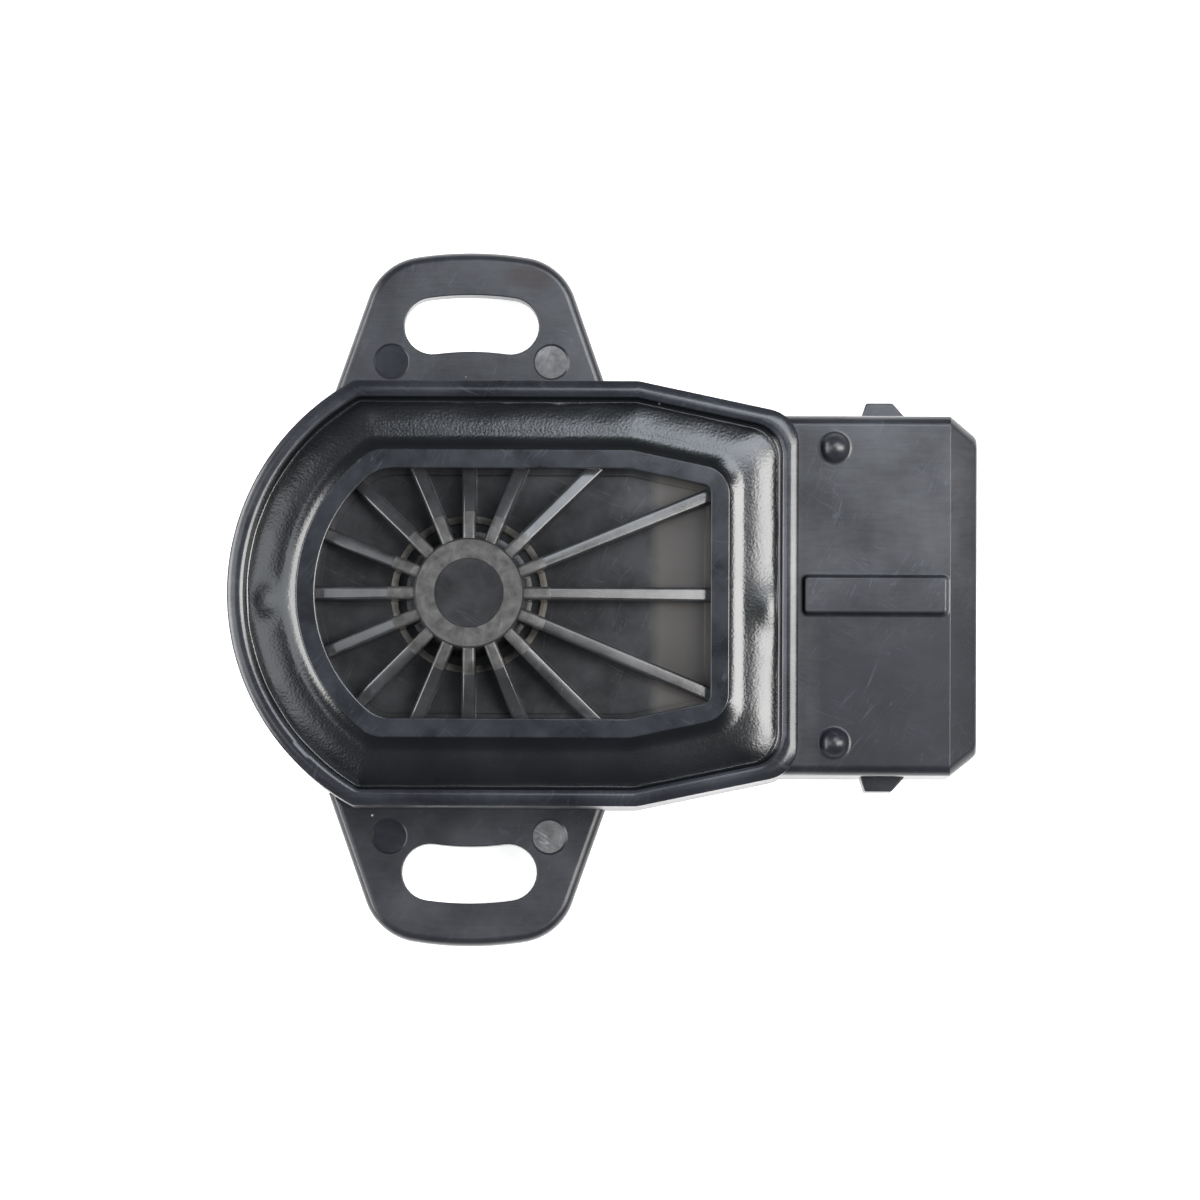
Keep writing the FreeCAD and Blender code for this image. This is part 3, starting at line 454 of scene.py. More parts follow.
def loft(bm, rings, cap_first=True, cap_last=True, joined=False):
    """Skins neighbouring rings together while they lie stacked apart, then sets their heights."""
    apart = 2.0 * MM
    heights = []
    for number, ring in enumerate(rings):
        verts = {vert for edge in ring for vert in edge.verts}
        heights += [(vert, vert.co.z) for vert in verts]
        for vert in verts:
            vert.co.z = number * apart
    following = rings[1:] + (rings[:1] if joined else [])
    for ring, nearest in zip(rings, following):
        bmesh.ops.bridge_loops(bm, edges=ring + nearest)
    for ring, wanted in ((rings[0], cap_first), (rings[-1], cap_last)):
        if wanted:
            bmesh.ops.edgeloop_fill(bm, edges=ring)
    for vert, z in heights:
        vert.co.z = z


def rising_round(start, end, steps=4):
    """Points of a quarter round that leaves start upright and meets end level."""
    points = []
    for step in range(steps + 1):
        turn = QUARTER * step / steps
        across = start[0] + (end[0] - start[0]) * (1 - math.cos(turn))
        points.append((across, start[1] + (end[1] - start[1]) * math.sin(turn)))
    return points


def falling_round(start, end, steps=4):
    """Points of a quarter round that leaves start level and meets end upright."""
    return list(reversed(rising_round(end, start, steps)))


def stand_up(bm, verts):
    """Turns a section drawn on the XY plane upright, so that its Y becomes Z."""
    bmesh.ops.rotate(bm, verts=verts, cent=(0, 0, 0), matrix=Matrix.Rotation(QUARTER, 3, "X"))


def turned(points, steps=72, closed=False):
    """A round solid, spun from its (radius, z) section."""
    bm = bmesh.new()
    first = bm.verts.new((points[0][0], points[0][1], 0.0))
    vert = first
    for radius, z in points[1:]:
        vert = line_to(bm, vert, radius, z)
    if closed:
        close_path(bm, vert, first)
    stand_up(bm, bm.verts)
    bmesh.ops.spin(
        bm, geom=bm.verts[:] + bm.edges[:], cent=(0, 0, 0), axis=UP, angle=2 * math.pi,
        steps=steps, use_merge=True,
    )
    bmesh.ops.remove_doubles(bm, verts=bm.verts, dist=TINY)
    return bm


def sector(inner, outer, bottom, top, start, sweep, steps=6):
    """A block bent round the rotor axis."""
    bm = bmesh.new()
    corners = ((inner, bottom), (outer, bottom), (outer, top), (inner, top))
    first = bm.verts.new((corners[0][0], corners[0][1], 0.0))
    vert = first
    for radius, z in corners[1:]:
        vert = line_to(bm, vert, radius, z)
    close_path(bm, vert, first)
    bmesh.ops.edgeloop_fill(bm, edges=bm.edges[:])
    stand_up(bm, bm.verts)
    bmesh.ops.rotate(bm, verts=bm.verts, cent=(0, 0, 0), matrix=Matrix.Rotation(start, 3, "Z"))
    bmesh.ops.spin(
        bm, geom=bm.faces[:], cent=(0, 0, 0), axis=UP, angle=sweep, steps=steps,
    )
    return bm


def plate(points, bottom, top):
    """A flat plate with straight edges, from its (x, y) corners."""
    bm = bmesh.new()
    first = bm.verts.new((points[0][0], points[0][1], bottom))
    vert = first
    for x, y in points[1:]:
        vert = line_to(bm, vert, x, y)
    close_path(bm, vert, first)
    face = bmesh.ops.edgeloop_fill(bm, edges=bm.edges[:])["faces"]
    thicken(bm, face, top - bottom)
    return bm


def thicken(bm, faces, height):
    """Extrudes flat faces upwards into a closed solid."""
    made = bmesh.ops.extrude_face_region(bm, geom=faces, use_keep_orig=True)["geom"]
    raised = [item for item in made if isinstance(item, bmesh.types.BMVert)]
    bmesh.ops.translate(bm, verts=raised, vec=(0, 0, height))
    bmesh.ops.recalc_face_normals(bm, faces=bm.faces)


def round_edges(bm, edges, radius, segments=3):
    bmesh.ops.bevel(
        bm, geom=edges, offset=radius, offset_type="OFFSET", affect="EDGES", segments=segments,
        profile=0.5, material=-1, clamp_overlap=True,
    )


def mirrored(bm):
    """The same shape on the other side of the XZ plane."""
    twin = bm.copy()
    bmesh.ops.scale(twin, vec=(1, -1, 1), verts=twin.verts)
    bmesh.ops.recalc_face_normals(twin, faces=twin.faces)
    return twin


def shape(name, bm):
    """Puts a finished bmesh into a new object."""
    bmesh.ops.recalc_face_normals(bm, faces=bm.faces)
    mesh = bpy.data.meshes.new(name)
    bm.to_mesh(mesh)
    bm.free()
    made = bpy.data.objects.new(name, mesh)
    bpy.context.scene.collection.objects.link(made)
    return made


def combine(target, operation, tools):
    """Joins shapes to an object, or cuts them out of it, one after the other."""
    for number, bm in enumerate(tools):
        tool = shape(f"{target.name}_tool_{number}", bm)
        cut = target.modifiers.new("combine", "BOOLEAN")
        cut.operation = operation
        cut.solver = "EXACT"
        cut.object = tool
        graph = bpy.context.evaluated_depsgraph_get()
        mesh = bpy.data.meshes.new_from_object(target.evaluated_get(graph))
        if len(mesh.polygons) == 0:
            raise RuntimeError(f"{target.name}: shape {number} left nothing")
        target.modifiers.remove(cut)
        spent = [target.data, tool.data]
        target.data = mesh
        bpy.data.objects.remove(tool)
        for old in spent:
            bpy.data.meshes.remove(old)


def merge_flats(mesh):
    """Joins neighbouring faces that lie in one plane."""
    bm = bmesh.new()
    bm.from_mesh(mesh)
    bmesh.ops.dissolve_limit(
        bm, angle_limit=math.radians(0.3), use_dissolve_boundaries=False, verts=bm.verts, edges=bm.edges,
        delimit={"MATERIAL"},
    )
    bm.to_mesh(mesh)
    bm.free()


def dress(piece, materials, nodes=(), body="case", crease=32.0):
    """Shades a piece, gives it its finish and ties it to the frame."""
    mesh = piece.data
    mesh.name = piece.name
    merge_flats(mesh)
    mesh.shade_smooth()
    mesh.set_sharp_from_angle(angle=math.radians(crease))
    weighted = piece.modifiers.new("even_normals", "WEIGHTED_NORMAL")
    weighted.keep_sharp = True
    for material in materials:
        mesh.materials.append(material)
    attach(piece, body)
    if nodes:
        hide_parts(*nodes)


def end_corner(case, cover, inset):
    """Corner radius beside the connector, which shrinks from the case wall to the cover's floor."""
    rim_inside = cover.rim_inset + cover.rim_width
    stops = ((0.0, case.end_corner), (cover.rim_inset, cover.rim_corner), (rim_inside, cover.floor_corner))
    for (near, wide), (far, tight) in zip(stops, stops[1:]):
        if inset < far:
            return wide + (tight - wide) * (inset - near) / (far - near)
    return cover.floor_corner


def back_corner(case, inset):
    return case.back_corner + 0.3 * inset


def case_rings(bm, case, cover, profile, run_steps=1):
    """Rings with the case outline, from an (inset, z) section."""
    return [
        case_ring(bm, case, inset, z, end_corner(case, cover, inset), back_corner(case, inset), run_steps)
        for inset, z in profile
    ]


def case_loft(case, cover, profile):
    """A closed solid with the case outline, from its (inset, z) section."""
    bm = bmesh.new()
    loft(bm, case_rings(bm, case, cover, profile))
    return bm


def cup(case, cover):
    """The case: outer wall, rounded rim, and the stepped well inside."""
    wall = case.rim_wall
    profile = [(case.foot, 0.0), (0.0, case.foot)]
    soft, steps = 0.05 * MM, 6
    profile.append((0.0, case.top - case.rim_fall - soft))
    for step in range(steps + 1):
        reach = step / steps
        across = soft + (case.rim_crown - soft) * reach
        profile.append((across, case.top - case.rim_fall * (1 - reach) ** 2))
    profile += [
        (wall - case.rim_chamfer, case.top),
        (wall, case.top - case.rim_chamfer_drop),
        (wall, cover.seat),
        (case.shelf, cover.seat),
        (case.shelf, case.board_seat),
        (case.ledge, case.board_seat),
        (case.ledge, case.floor),
    ]
    return case_loft(case, cover, profile)


def ear_half_width(ear, y):
    slot_end = ear.slot_radius * math.sin(ear.slot_half_angle) + ear.slot_width / 2
    return slot_end + ear.side + (ear.slot_radius - y) * math.tan(ear.flare)


def ear_outline(bm, ear, root):
    """The ear's edge: slanted sides, round corners and an arc about the rotor axis."""
    before = set(bm.edges)
    flare, corner = ear.flare, ear.corner
    side = ear_half_width(ear, 0.0) * math.cos(flare) - corner
    along = math.sqrt((ear.reach - corner) ** 2 - side ** 2)
    x = side * math.cos(flare) - along * math.sin(flare)
    y = side * math.sin(flare) + along * math.cos(flare)
    heading = math.atan2(y, x)
    first = bm.verts.new((ear_half_width(ear, root), root, 0.0))
    vert = corner_to(bm, first, (x, y), corner, flare, heading - flare, 1, 16)
    vert = arc_to(bm, vert, (0.0, 0.0), math.pi - 2 * heading, 16)
    vert = arc_to(bm, vert, (-x, y), heading - flare, 16)
    vert = line_to(bm, vert, -ear_half_width(ear, root), root)
    close_path(bm, vert, first)
    return ring_since(bm, before)


def slot_outline(bm, ear):
    """The adjusting slot: two arcs about the rotor axis with round ends."""
    before = set(bm.edges)
    sweep = ear.slot_half_angle
    inner = ear.slot_radius - ear.slot_width / 2
    start, stop = QUARTER - sweep, QUARTER + sweep
    end_steps = 16
    first = bm.verts.new((inner * math.cos(start), inner * math.sin(start), 0.0))
    vert = arc_to(bm, first, (0.0, 0.0), 2 * sweep, 12)
    left = (ear.slot_radius * math.cos(stop), ear.slot_radius * math.sin(stop))
    vert = arc_to(bm, vert, left, -math.pi, end_steps)
    vert = arc_to(bm, vert, (0.0, 0.0), -2 * sweep, 12)
    last_turn = -math.pi * (end_steps - 1) / end_steps
    vert = arc_to(bm, vert, (-left[0], left[1]), last_turn, end_steps - 1)
    close_path(bm, vert, first)
    return ring_since(bm, before)


def edges_at(bm, z, test):
    """Edges that lie level at height z and whose middle passes a test."""
    chosen = []
    for edge in bm.edges:
        middle = (edge.verts[0].co + edge.verts[1].co) / 2
        level = all(abs(vert.co.z - z) < TINY for vert in edge.verts)
        if level and len(edge.link_faces) == 2 and edge.calc_face_angle() > 0.5 and test(middle):
            chosen.append(edge)
    return chosen


def mounting_ear(ear, root):
    bm = bmesh.new()
    rings = ear_outline(bm, ear, root) + slot_outline(bm, ear)
    bmesh.ops.triangle_fill(bm, edges=rings, use_beauty=True, use_dissolve=False)
    thicken(bm, bm.faces[:], ear.thickness)
    slack_along, slack_across = 0.3 * MM, 0.5 * MM
    slot_reach = ear.slot_radius * math.sin(ear.slot_half_angle) + ear.slot_width / 2 + slack_along
    slot_half = ear.slot_width / 2 + slack_across

    def in_slot(point):
        return abs(point.x) < slot_reach and abs(point.xy.length - ear.slot_radius) < slot_half

    def on_edge(point):
        return not in_slot(point) and point.y > root + TINY

    round_edges(bm, edges_at(bm, ear.thickness, on_edge), ear.edge_round, 4)
    round_edges(bm, edges_at(bm, ear.thickness, in_slot), ear.slot_round)
    round_edges(bm, edges_at(bm, 0.0, on_edge), ear.slot_round, 2)
    round_edges(bm, edges_at(bm, 0.0, in_slot), ear.slot_round, 2)
    return bm


def pin_mark(ear, side):
    """The round sinking that an ejector pin leaves, tipped a little to its side."""
    depth, radius, lip = ear.pin_mark_depth, ear.pin_mark_radius, ear.pin_mark_lip
    above = 0.5 * MM
    slope = lip / depth
    section = ((0.0, -depth), (radius, -depth), (radius + lip + slope * above, above), (0.0, above))
    bm = turned(section, 48)
    place = Matrix.Translation((side * ear.pin_mark_x, ear.pin_mark_y, ear.thickness))
    lean = Matrix.Rotation(side * ear.pin_mark_lean, 4, "Y")
    bmesh.ops.transform(bm, matrix=place @ lean, verts=bm.verts)
    return bm


def lay_over(bm):
    """Turns a solid that was built along Z so that it runs along X, with its X pointing down."""
    bmesh.ops.rotate(bm, verts=bm.verts, cent=(0, 0, 0), matrix=Matrix.Rotation(QUARTER, 3, "Y"))
    return bm


def shroud_body(shroud, root):
    """Connector shroud with its long edges rounded and its mouth drawn in."""
    bm = bmesh.new()
    half_z = shroud.height / 2
    centre = (-shroud.bottom - half_z, 0.0)
    lead = shroud.mouth - shroud.lead
    soft = 0.02 * MM
    tip = 0.25 * MM
    slope_z = shroud.top_taper / shroud.lead
    slope_y = shroud.side_taper / shroud.lead
    stations = [
        (root, 0.0, 0.0),
        (lead - soft, 0.0, 0.0),
        (lead + soft, slope_z * soft, slope_y * soft),
        (shroud.mouth - tip, shroud.top_taper - slope_z * tip, shroud.side_taper - slope_y * tip),
        (shroud.mouth - tip / 3, shroud.top_taper, shroud.side_taper),
        (shroud.mouth, shroud.top_taper + tip / 2, shroud.side_taper + tip / 2),
    ]
    rings = [
        block_ring(bm, centre, half_z - in_z, shroud.half_width - in_y, shroud.edge, x)
        for x, in_z, in_y in stations
    ]
    loft(bm, rings)
    return lay_over(bm)


def shroud_socket(case, shroud):
    """The space for the plug, with a small lead at the mouth."""
    bm = bmesh.new()
    half_z = shroud.height / 2
    centre = (-shroud.bottom - half_z, 0.0)
    lead = 0.2 * MM
    past = 1.0 * MM
    deep = case.length + shroud.bulkhead
    rings = [
        block_ring(
            bm, centre, half_z - shroud.wall + wider, shroud.half_width - shroud.side_wall + wider,
            shroud.edge, x,
        )
        for x, wider in ((deep, 0.0), (shroud.mouth - lead, 0.0), (shroud.mouth + past, lead + past))
    ]
    loft(bm, rings)
    return lay_over(bm)


def key_rib(case, shroud):
    """Key rib on the shroud's upper wall, with a small fillet at its foot."""
    bm = bmesh.new()
    start, stop = case.length + shroud.key_back, shroud.mouth - shroud.key_front
    half_x, half_y = (stop - start) / 2, shroud.key_width / 2
    wall_top = shroud.bottom + shroud.height
    top = wall_top + shroud.key_height
    foot, edge, corner = shroud.key_foot, shroud.key_edge, shroud.key_corner
    section = [(foot, wall_top - shroud.wall / 2)]
    section += falling_round((foot, wall_top), (0.0, wall_top + foot), 3)
    section += [(-across, z) for across, z in rising_round((0.0, top - edge), (edge, top), 3)]
    rings = [
        block_ring(bm, ((start + stop) / 2, 0.0), half_x + out, half_y + out, corner + out, z)
        for out, z in section
    ]
    loft(bm, rings)
    return bm


def bump(shroud, side):
    """Low dome with a small fillet at its foot."""
    radius, height = shroud.bump_radius, shroud.bump_height
    ball = (radius ** 2 + height ** 2) / (2 * height)
    wall_top = shroud.bottom + shroud.height
    steps = 8
    edge_turn = math.asin(0.95 * radius / ball)
    fillet = 0.2 * radius
    section = [(0.0, wall_top - shroud.wall / 2), (radius + fillet, wall_top - shroud.wall / 2)]
    foot_top = wall_top + height - ball + ball * math.cos(edge_turn)
    section += falling_round((radius + fillet, wall_top), (0.97 * radius, foot_top), 5)[:-1]
    for step in range(steps + 1):
        turn = edge_turn * (1 - step / steps)
        section.append((ball * math.sin(turn), wall_top + height - ball + ball * math.cos(turn)))
    bm = turned(section, 48)
    place = (shroud.mouth - shroud.bump_back, side * (shroud.half_width - shroud.bump_side), 0.0)
    bmesh.ops.translate(bm, verts=bm.verts, vec=place)
    return bm


def latch_lug(shroud):
    """Lug on the shroud's side: a steep back and a ramp towards the mouth."""
    back = shroud.mouth - shroud.latch_back
    front = back + shroud.latch_long
    root = shroud.half_width - shroud.side_wall / 2
    tip = shroud.half_width + shroud.latch_height
    middle = shroud.bottom + shroud.height / 2
    outline = (
        (back, root), (front, root), (front, shroud.half_width),
        (front - shroud.latch_ramp, tip), (back + shroud.latch_heel, tip), (back, shroud.half_width),
    )
    bm = plate(outline, middle - shroud.latch_tall / 2, middle + shroud.latch_tall / 2)
    outer = [edge for edge in bm.edges if all(v.co.y > shroud.half_width - TINY for v in edge.verts)]
    round_edges(bm, outer, shroud.latch_round, 2)
    return bm


def build_housing(scene):
    case, ear, shroud, inner = scene.sensor_case, scene.sensor_ear, scene.sensor_shroud, scene.sensor_inner
    bottom = HOUSING_BOX[0].z
    piece = shape("housing_shell", cup(case, scene.sensor_cover))
    upper_ear = mounting_ear(ear, case.half_width - case.rim_wall)
    spigot_in, spigot_out = inner.spigot_radius - inner.spigot_wall, inner.spigot_radius
    lead = 0.4 * MM
    spigot = turned((
        (spigot_in, case.floor / 3), (spigot_in, bottom + lead / 2), (spigot_in + lead / 2, bottom),
        (spigot_out - lead, bottom), (spigot_out, bottom + lead), (spigot_out, case.floor / 3),
    ), 96, closed=True)
    tube = turned((
        (0.0, inner.tube_end), (inner.tube_radius - lead / 2, inner.tube_end),
        (inner.tube_radius, inner.tube_end + lead / 2), (inner.tube_radius, inner.tube_top),
        (0.0, inner.tube_top),
    ))
    post_reach = inner.lug_width / 2 + inner.stop_play
    travel = math.radians(frame["joints"][0]["range_deg"][1])
    post_top = inner.flange_bottom - inner.stop_gap
    posts = [
        sector(inner.lug_inner, inner.lug_outer, case.floor / 2, post_top, start, inner.stop_width)
        for start in (
            inner.lug_angle - post_reach - inner.stop_width, inner.lug_angle + travel + post_reach,
        )
    ]
    lug = latch_lug(shroud)
    combine(piece, "UNION", [upper_ear.copy(), mirrored(upper_ear)])
    upper_ear.free()
    marks = [pin_mark(ear, side) for side in (-1, 1)]
    combine(piece, "DIFFERENCE", marks + [mirrored(pin_mark(ear, side)) for side in (-1, 1)])
    combine(piece, "UNION", [shroud_body(shroud, case.length - shroud.root), key_rib(case, shroud)])
    combine(piece, "UNION", [bump(shroud, -1), bump(shroud, 1), lug.copy(), mirrored(lug)])
    lug.free()
    combine(piece, "DIFFERENCE", [shroud_socket(case, shroud)])
    combine(piece, "UNION", [spigot, tube] + posts)
    bore = ((0.0, bottom), (inner.bore_radius, bottom), (inner.bore_radius, case.top), (0.0, case.top))
    combine(piece, "DIFFERENCE", [turned(bore)])
    return piece


def rim_distance(case, degrees, inset):
    """Distance from the rotor axis to the inset outline in one direction."""
    turn = math.radians(degrees)
    across, along = abs(math.sin(turn)), math.cos(turn)
    taper = case.taper_angle
    reaches = [(case.half_width - inset) / max(across, TINY)]
    if along > 0:
        reach = case.taper_start * math.sin(taper) + case.half_width * math.cos(taper) - inset
        reaches.append((case.length - inset) / along)
        reaches.append(reach / (along * math.sin(taper) + across * math.cos(taper)))
    else:
        reaches.append(case.radius - inset)
    return min(reaches)


def cover_plate(case, cover):
    """Flange, raised rim with rounded edges, ledge and recessed floor."""
    outer, inner = cover.rim_inset, cover.rim_inset + cover.rim_width
    soft, crisp = 0.14 * MM, 0.15 * MM
    lip, chamfer = inner + cover.ledge_width, cover.ledge_chamfer
    ledge = cover.floor + cover.ledge_height
    profile = [(cover.flange_inset, cover.seat), (cover.flange_inset, cover.floor), (outer, cover.floor)]
    profile += rising_round((outer, cover.top - soft), (outer + soft, cover.top))
    profile += falling_round((inner - crisp, cover.top), (inner, cover.top - crisp), 2)
    profile += [(inner, ledge), (lip - chamfer, ledge), (lip, ledge - chamfer), (lip, cover.floor)]
    return case_loft(case, cover, profile)


def cover_hub(cover):
    """The hub, tapered, with a chamfered edge and a sunk disc."""
    sunk = 0.2 * MM
    base = cover.floor - cover.groove_depth - sunk
    top, disc, edge = cover.hub_top, cover.disc_radius, cover.hub_edge
    section = [
        (0.0, base), (cover.hub_base, base), (cover.hub_base, cover.floor),
        (cover.hub_radius, top - edge), (cover.hub_radius - edge, top),
        (disc + cover.disc_slope, top), (disc, top - cover.disc_depth), (0.0, top - cover.disc_depth),
    ]
    return turned(section, 96)


def groove_ring(cover):
    """What is cut away for the groove round the hub, with its chamfered lip."""
    bottom = cover.floor - cover.groove_depth
    above, inwards = 0.2 * MM, 0.3 * MM
    core = cover.hub_base - inwards
    return turned((
        (core, bottom), (cover.groove_outer, bottom),
        (cover.groove_outer, cover.floor - cover.lip_depth), (cover.groove_lip, cover.floor),
        (cover.groove_lip, cover.floor + above), (core, cover.floor + above),
    ), 96, closed=True)


def cover_rib(case, cover, degrees):
    """One rib with drafted sides: level beside the hub, then sloping down to the rim."""
    start = cover.hub_radius - cover.rib_width / 2
    sunk = 0.1 * MM
    low = cover.floor - cover.groove_depth - sunk
    level = cover.hub_top - cover.rib_step
    inner_rim = cover.rim_inset + cover.rim_width
    end = rim_distance(case, degrees, inner_rim) + cover.rim_width / 2
    end_top = cover.top - cover.rib_drop
    side = ((start, low), (end, low), (end, end_top), (cover.rib_flat, level), (start, level))
    bm = plate(side, -cover.rib_width / 2, cover.rib_width / 2)
    wider = (cover.rib_foot - cover.rib_width) / 2 / (level - cover.floor)
    for vert in bm.verts:
        vert.co.z += math.copysign((level - vert.co.y) * wider, vert.co.z)
    upper = [
        edge for edge in bm.edges
        if all(vert.co.y > end_top - TINY for vert in edge.verts)
        and edge.verts[0].co.z * edge.verts[1].co.z > 0
    ]
    round_edges(bm, upper, cover.rib_round)
    stand_up(bm, bm.verts)
    turn = Matrix.Rotation(math.radians(degrees), 3, "Z")
    bmesh.ops.rotate(bm, verts=bm.verts, cent=(0, 0, 0), matrix=turn)
    return bm


def clamp_rails(case, cover):
    """Rails under the cover that press the board onto its ledge."""
    bottom, top = COVER_BOX[0].z, (cover.seat + cover.floor) / 2
    inset, thick = case.shelf + cover.rail_clearance, cover.rail_width
    side, end = case.half_width - inset, case.length - inset
    back, front = cover.rail_back, case.taper_start - thick
    flank = plate(((back, side - thick), (front, side - thick), (front, side), (back, side)), bottom, top)
    reach = cover.rail_reach
    across = plate(((end - thick, -reach), (end, -reach), (end, reach), (end - thick, reach)), bottom, top)
    return [flank, mirrored(flank), across]


def build_cover(scene):
    case, cover, inner = scene.sensor_case, scene.sensor_cover, scene.sensor_inner
    piece = shape("ribbed_cover", cover_plate(case, cover))
    combine(piece, "DIFFERENCE", [groove_ring(cover)])
    combine(piece, "UNION", [cover_hub(cover)])
    count = cover.rib_count
    combine(piece, "UNION", [cover_rib(case, cover, 360.0 * number / count) for number in range(count)])
    combine(piece, "UNION", clamp_rails(case, cover))
    bore, past = inner.pin_radius + inner.pin_clearance, 1.0 * MM
    below, bore_top = cover.seat - past, ROTOR_BOX[1].z + inner.pin_room
    combine(piece, "DIFFERENCE", [turned(((0.0, below), (bore, below), (bore, bore_top), (0.0, bore_top)))])
    return piece


def mark_pin_faces(piece, ear):
    """Gives the ejector pin marks their own materials: the left ones smooth, the right ones dull and
    painted paler, a painted highlight for the light their tilt catches.
    """
    level = ear.thickness - ear.pin_mark_depth
    near = 0.1 * MM
    for polygon in piece.data.polygons:
        x, y, z = polygon.center
        from_mark = math.hypot(abs(x) - ear.pin_mark_x, abs(y) - ear.pin_mark_y)
        if from_mark < ear.pin_mark_radius and abs(z - level) < near:
            polygon.material_index = 1 if x < 0 else 2


def mark_cover_faces(piece, cover):
    """Gives the hub's matt ring, the ribs' crests, the groove's lip and the rim their own materials. As
    painted light, the crests are lighter and the lip paler; as painted shade, the rim's top is darker.
    """
    crest = cover.hub_top - cover.rib_step
    lip_low, lip_high = cover.floor - 0.25 * MM, cover.floor - 0.02 * MM
    near, nearer = 0.2 * MM, 0.05 * MM
    for polygon in piece.data.polygons:
        reach, z = polygon.center.xy.length, polygon.center.z
        if z > cover.hub_top - nearer and cover.disc_radius < reach < cover.hub_radius:
            polygon.material_index = 1
        # Level rib crests: painted lighter, a painted highlight where the flat tops catch the overhead
        # light.
        if abs(z - crest) < cover.rib_round and cover.hub_radius < reach < cover.rib_flat:
            polygon.material_index = 2
        # Groove's chamfered lip: painted pale, a painted reflection of the lamps.
        on_lip_painted_reflection = cover.groove_outer < reach < cover.groove_lip
        if on_lip_painted_reflection and lip_low < z < lip_high:
            polygon.material_index = 3
        # Rim's top: painted darker than the rest of the moulding, painted shade.
        if reach > 2 * cover.hub_radius and abs(z - cover.top) < near:
            polygon.material_index = 4


def resin_height(resin, away, gap):
    """Height of the resin's skin at a distance from the case wall, in a channel gap wide."""
    near_wall = max(0.0, 1 - away / resin.wall_curve)
    along = max(0.0, (away - resin.wall_curve) / (gap - resin.wall_curve))
    near_rim = max(0.0, 1 - (gap - away) / resin.rim_curve)
    wall_bend, back_bend, rim_bend = 1.6, 2.5, 2
    back = resin.broad_climb * (1 - (1 - along) ** back_bend)
    ends = resin.wall_climb * near_wall ** wall_bend + resin.rim_climb * near_rim ** rim_bend
    return resin.valley + back + ends


def mound(x, y, middle, spread_out):
    """A smooth rise of 1 at its middle that fades to nothing."""
    return math.exp(-((x - middle[0]) / spread_out[0]) ** 2 - ((y - middle[1]) / spread_out[1]) ** 2)


def resin_skin(resin, x, y, away, gap):
    """Height of the resin at one place, with its wandering valley, ripples, hollow and swelling."""
    place = Vector((x, y, 0.0))
    sway = math.sin(math.pi * min(1.0, 2 * away / gap)) if away < gap / 2 else 0.0
    wander = resin.wander * sway * noise.noise(place / resin.wander_size)
    ripple = resin.ripple * noise.noise(place / resin.ripple_size)
    swell = resin.swell * mound(x, y, resin.swell_place, resin.swell_spread)
    dip = resin.dip * mound(x, y, resin.dip_place, resin.dip_spread)
    return resin_height(resin, away + wander, gap) + ripple + swell - dip


def build_resin(scene):
    case, cover, resin = scene.sensor_case, scene.sensor_cover, scene.sensor_resin
    gap = cover.rim_inset - case.rim_wall
    steps = 34
    bm = bmesh.new()
    bottom = RESIN_BOX[0].z
    distances = [gap * (1 - math.cos(math.pi * step / steps)) / 2 for step in range(steps + 1)]
    stations = [(cover.rim_inset, bottom), (case.rim_wall, bottom)]
    stations += [(case.rim_wall + away, resin.valley) for away in distances]
    rings = case_rings(bm, case, cover, stations, 16)
    for ring, away in zip(rings[2:], distances):
        for vert in {vert for edge in ring for vert in edge.verts}:
            vert.co.z = resin_skin(resin, vert.co.x, vert.co.y, away, gap)
    loft(bm, rings, False, False, joined=True)
    return shape("cast_resin", bm)


def build_terminal(scene, place):
    """Blade with a pointed tip, a narrow lead through the wall and an upright leg."""
    sizes, case = scene.sensor_terminal, scene.sensor_case
    low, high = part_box(TERMINAL_NAMES[place])
    y = (low.y + high.y) / 2
    bottom, top, half = low.z, low.z + sizes.thickness, sizes.width / 2
    tip, point, side = high.x, sizes.point, sizes.lead_width / 2
    blade = plate((
        (case.length, y - half), (tip - point, y - half), (tip, y - sizes.tip_width / 2),
        (tip, y + sizes.tip_width / 2), (tip - point, y + half), (case.length, y + half),
    ), bottom, top)
    level = [edge for edge in blade.edges if edge.verts[0].co.z == edge.verts[1].co.z]
    round_edges(blade, level, sizes.edge_round, 2)
    left, right = low.x, low.x + sizes.thickness
    past = case.length + 1.0 * MM
    bent = ((left, bottom), (past, bottom), (past, top), (right, top), (right, high.z), (left, high.z))
    lead = plate(bent, -y - side, -y + side)
    stand_up(lead, lead.verts)
    piece = shape(TERMINAL_NAMES[place].replace("terminal", "blade"), blade)
    combine(piece, "UNION", [lead])
    return piece


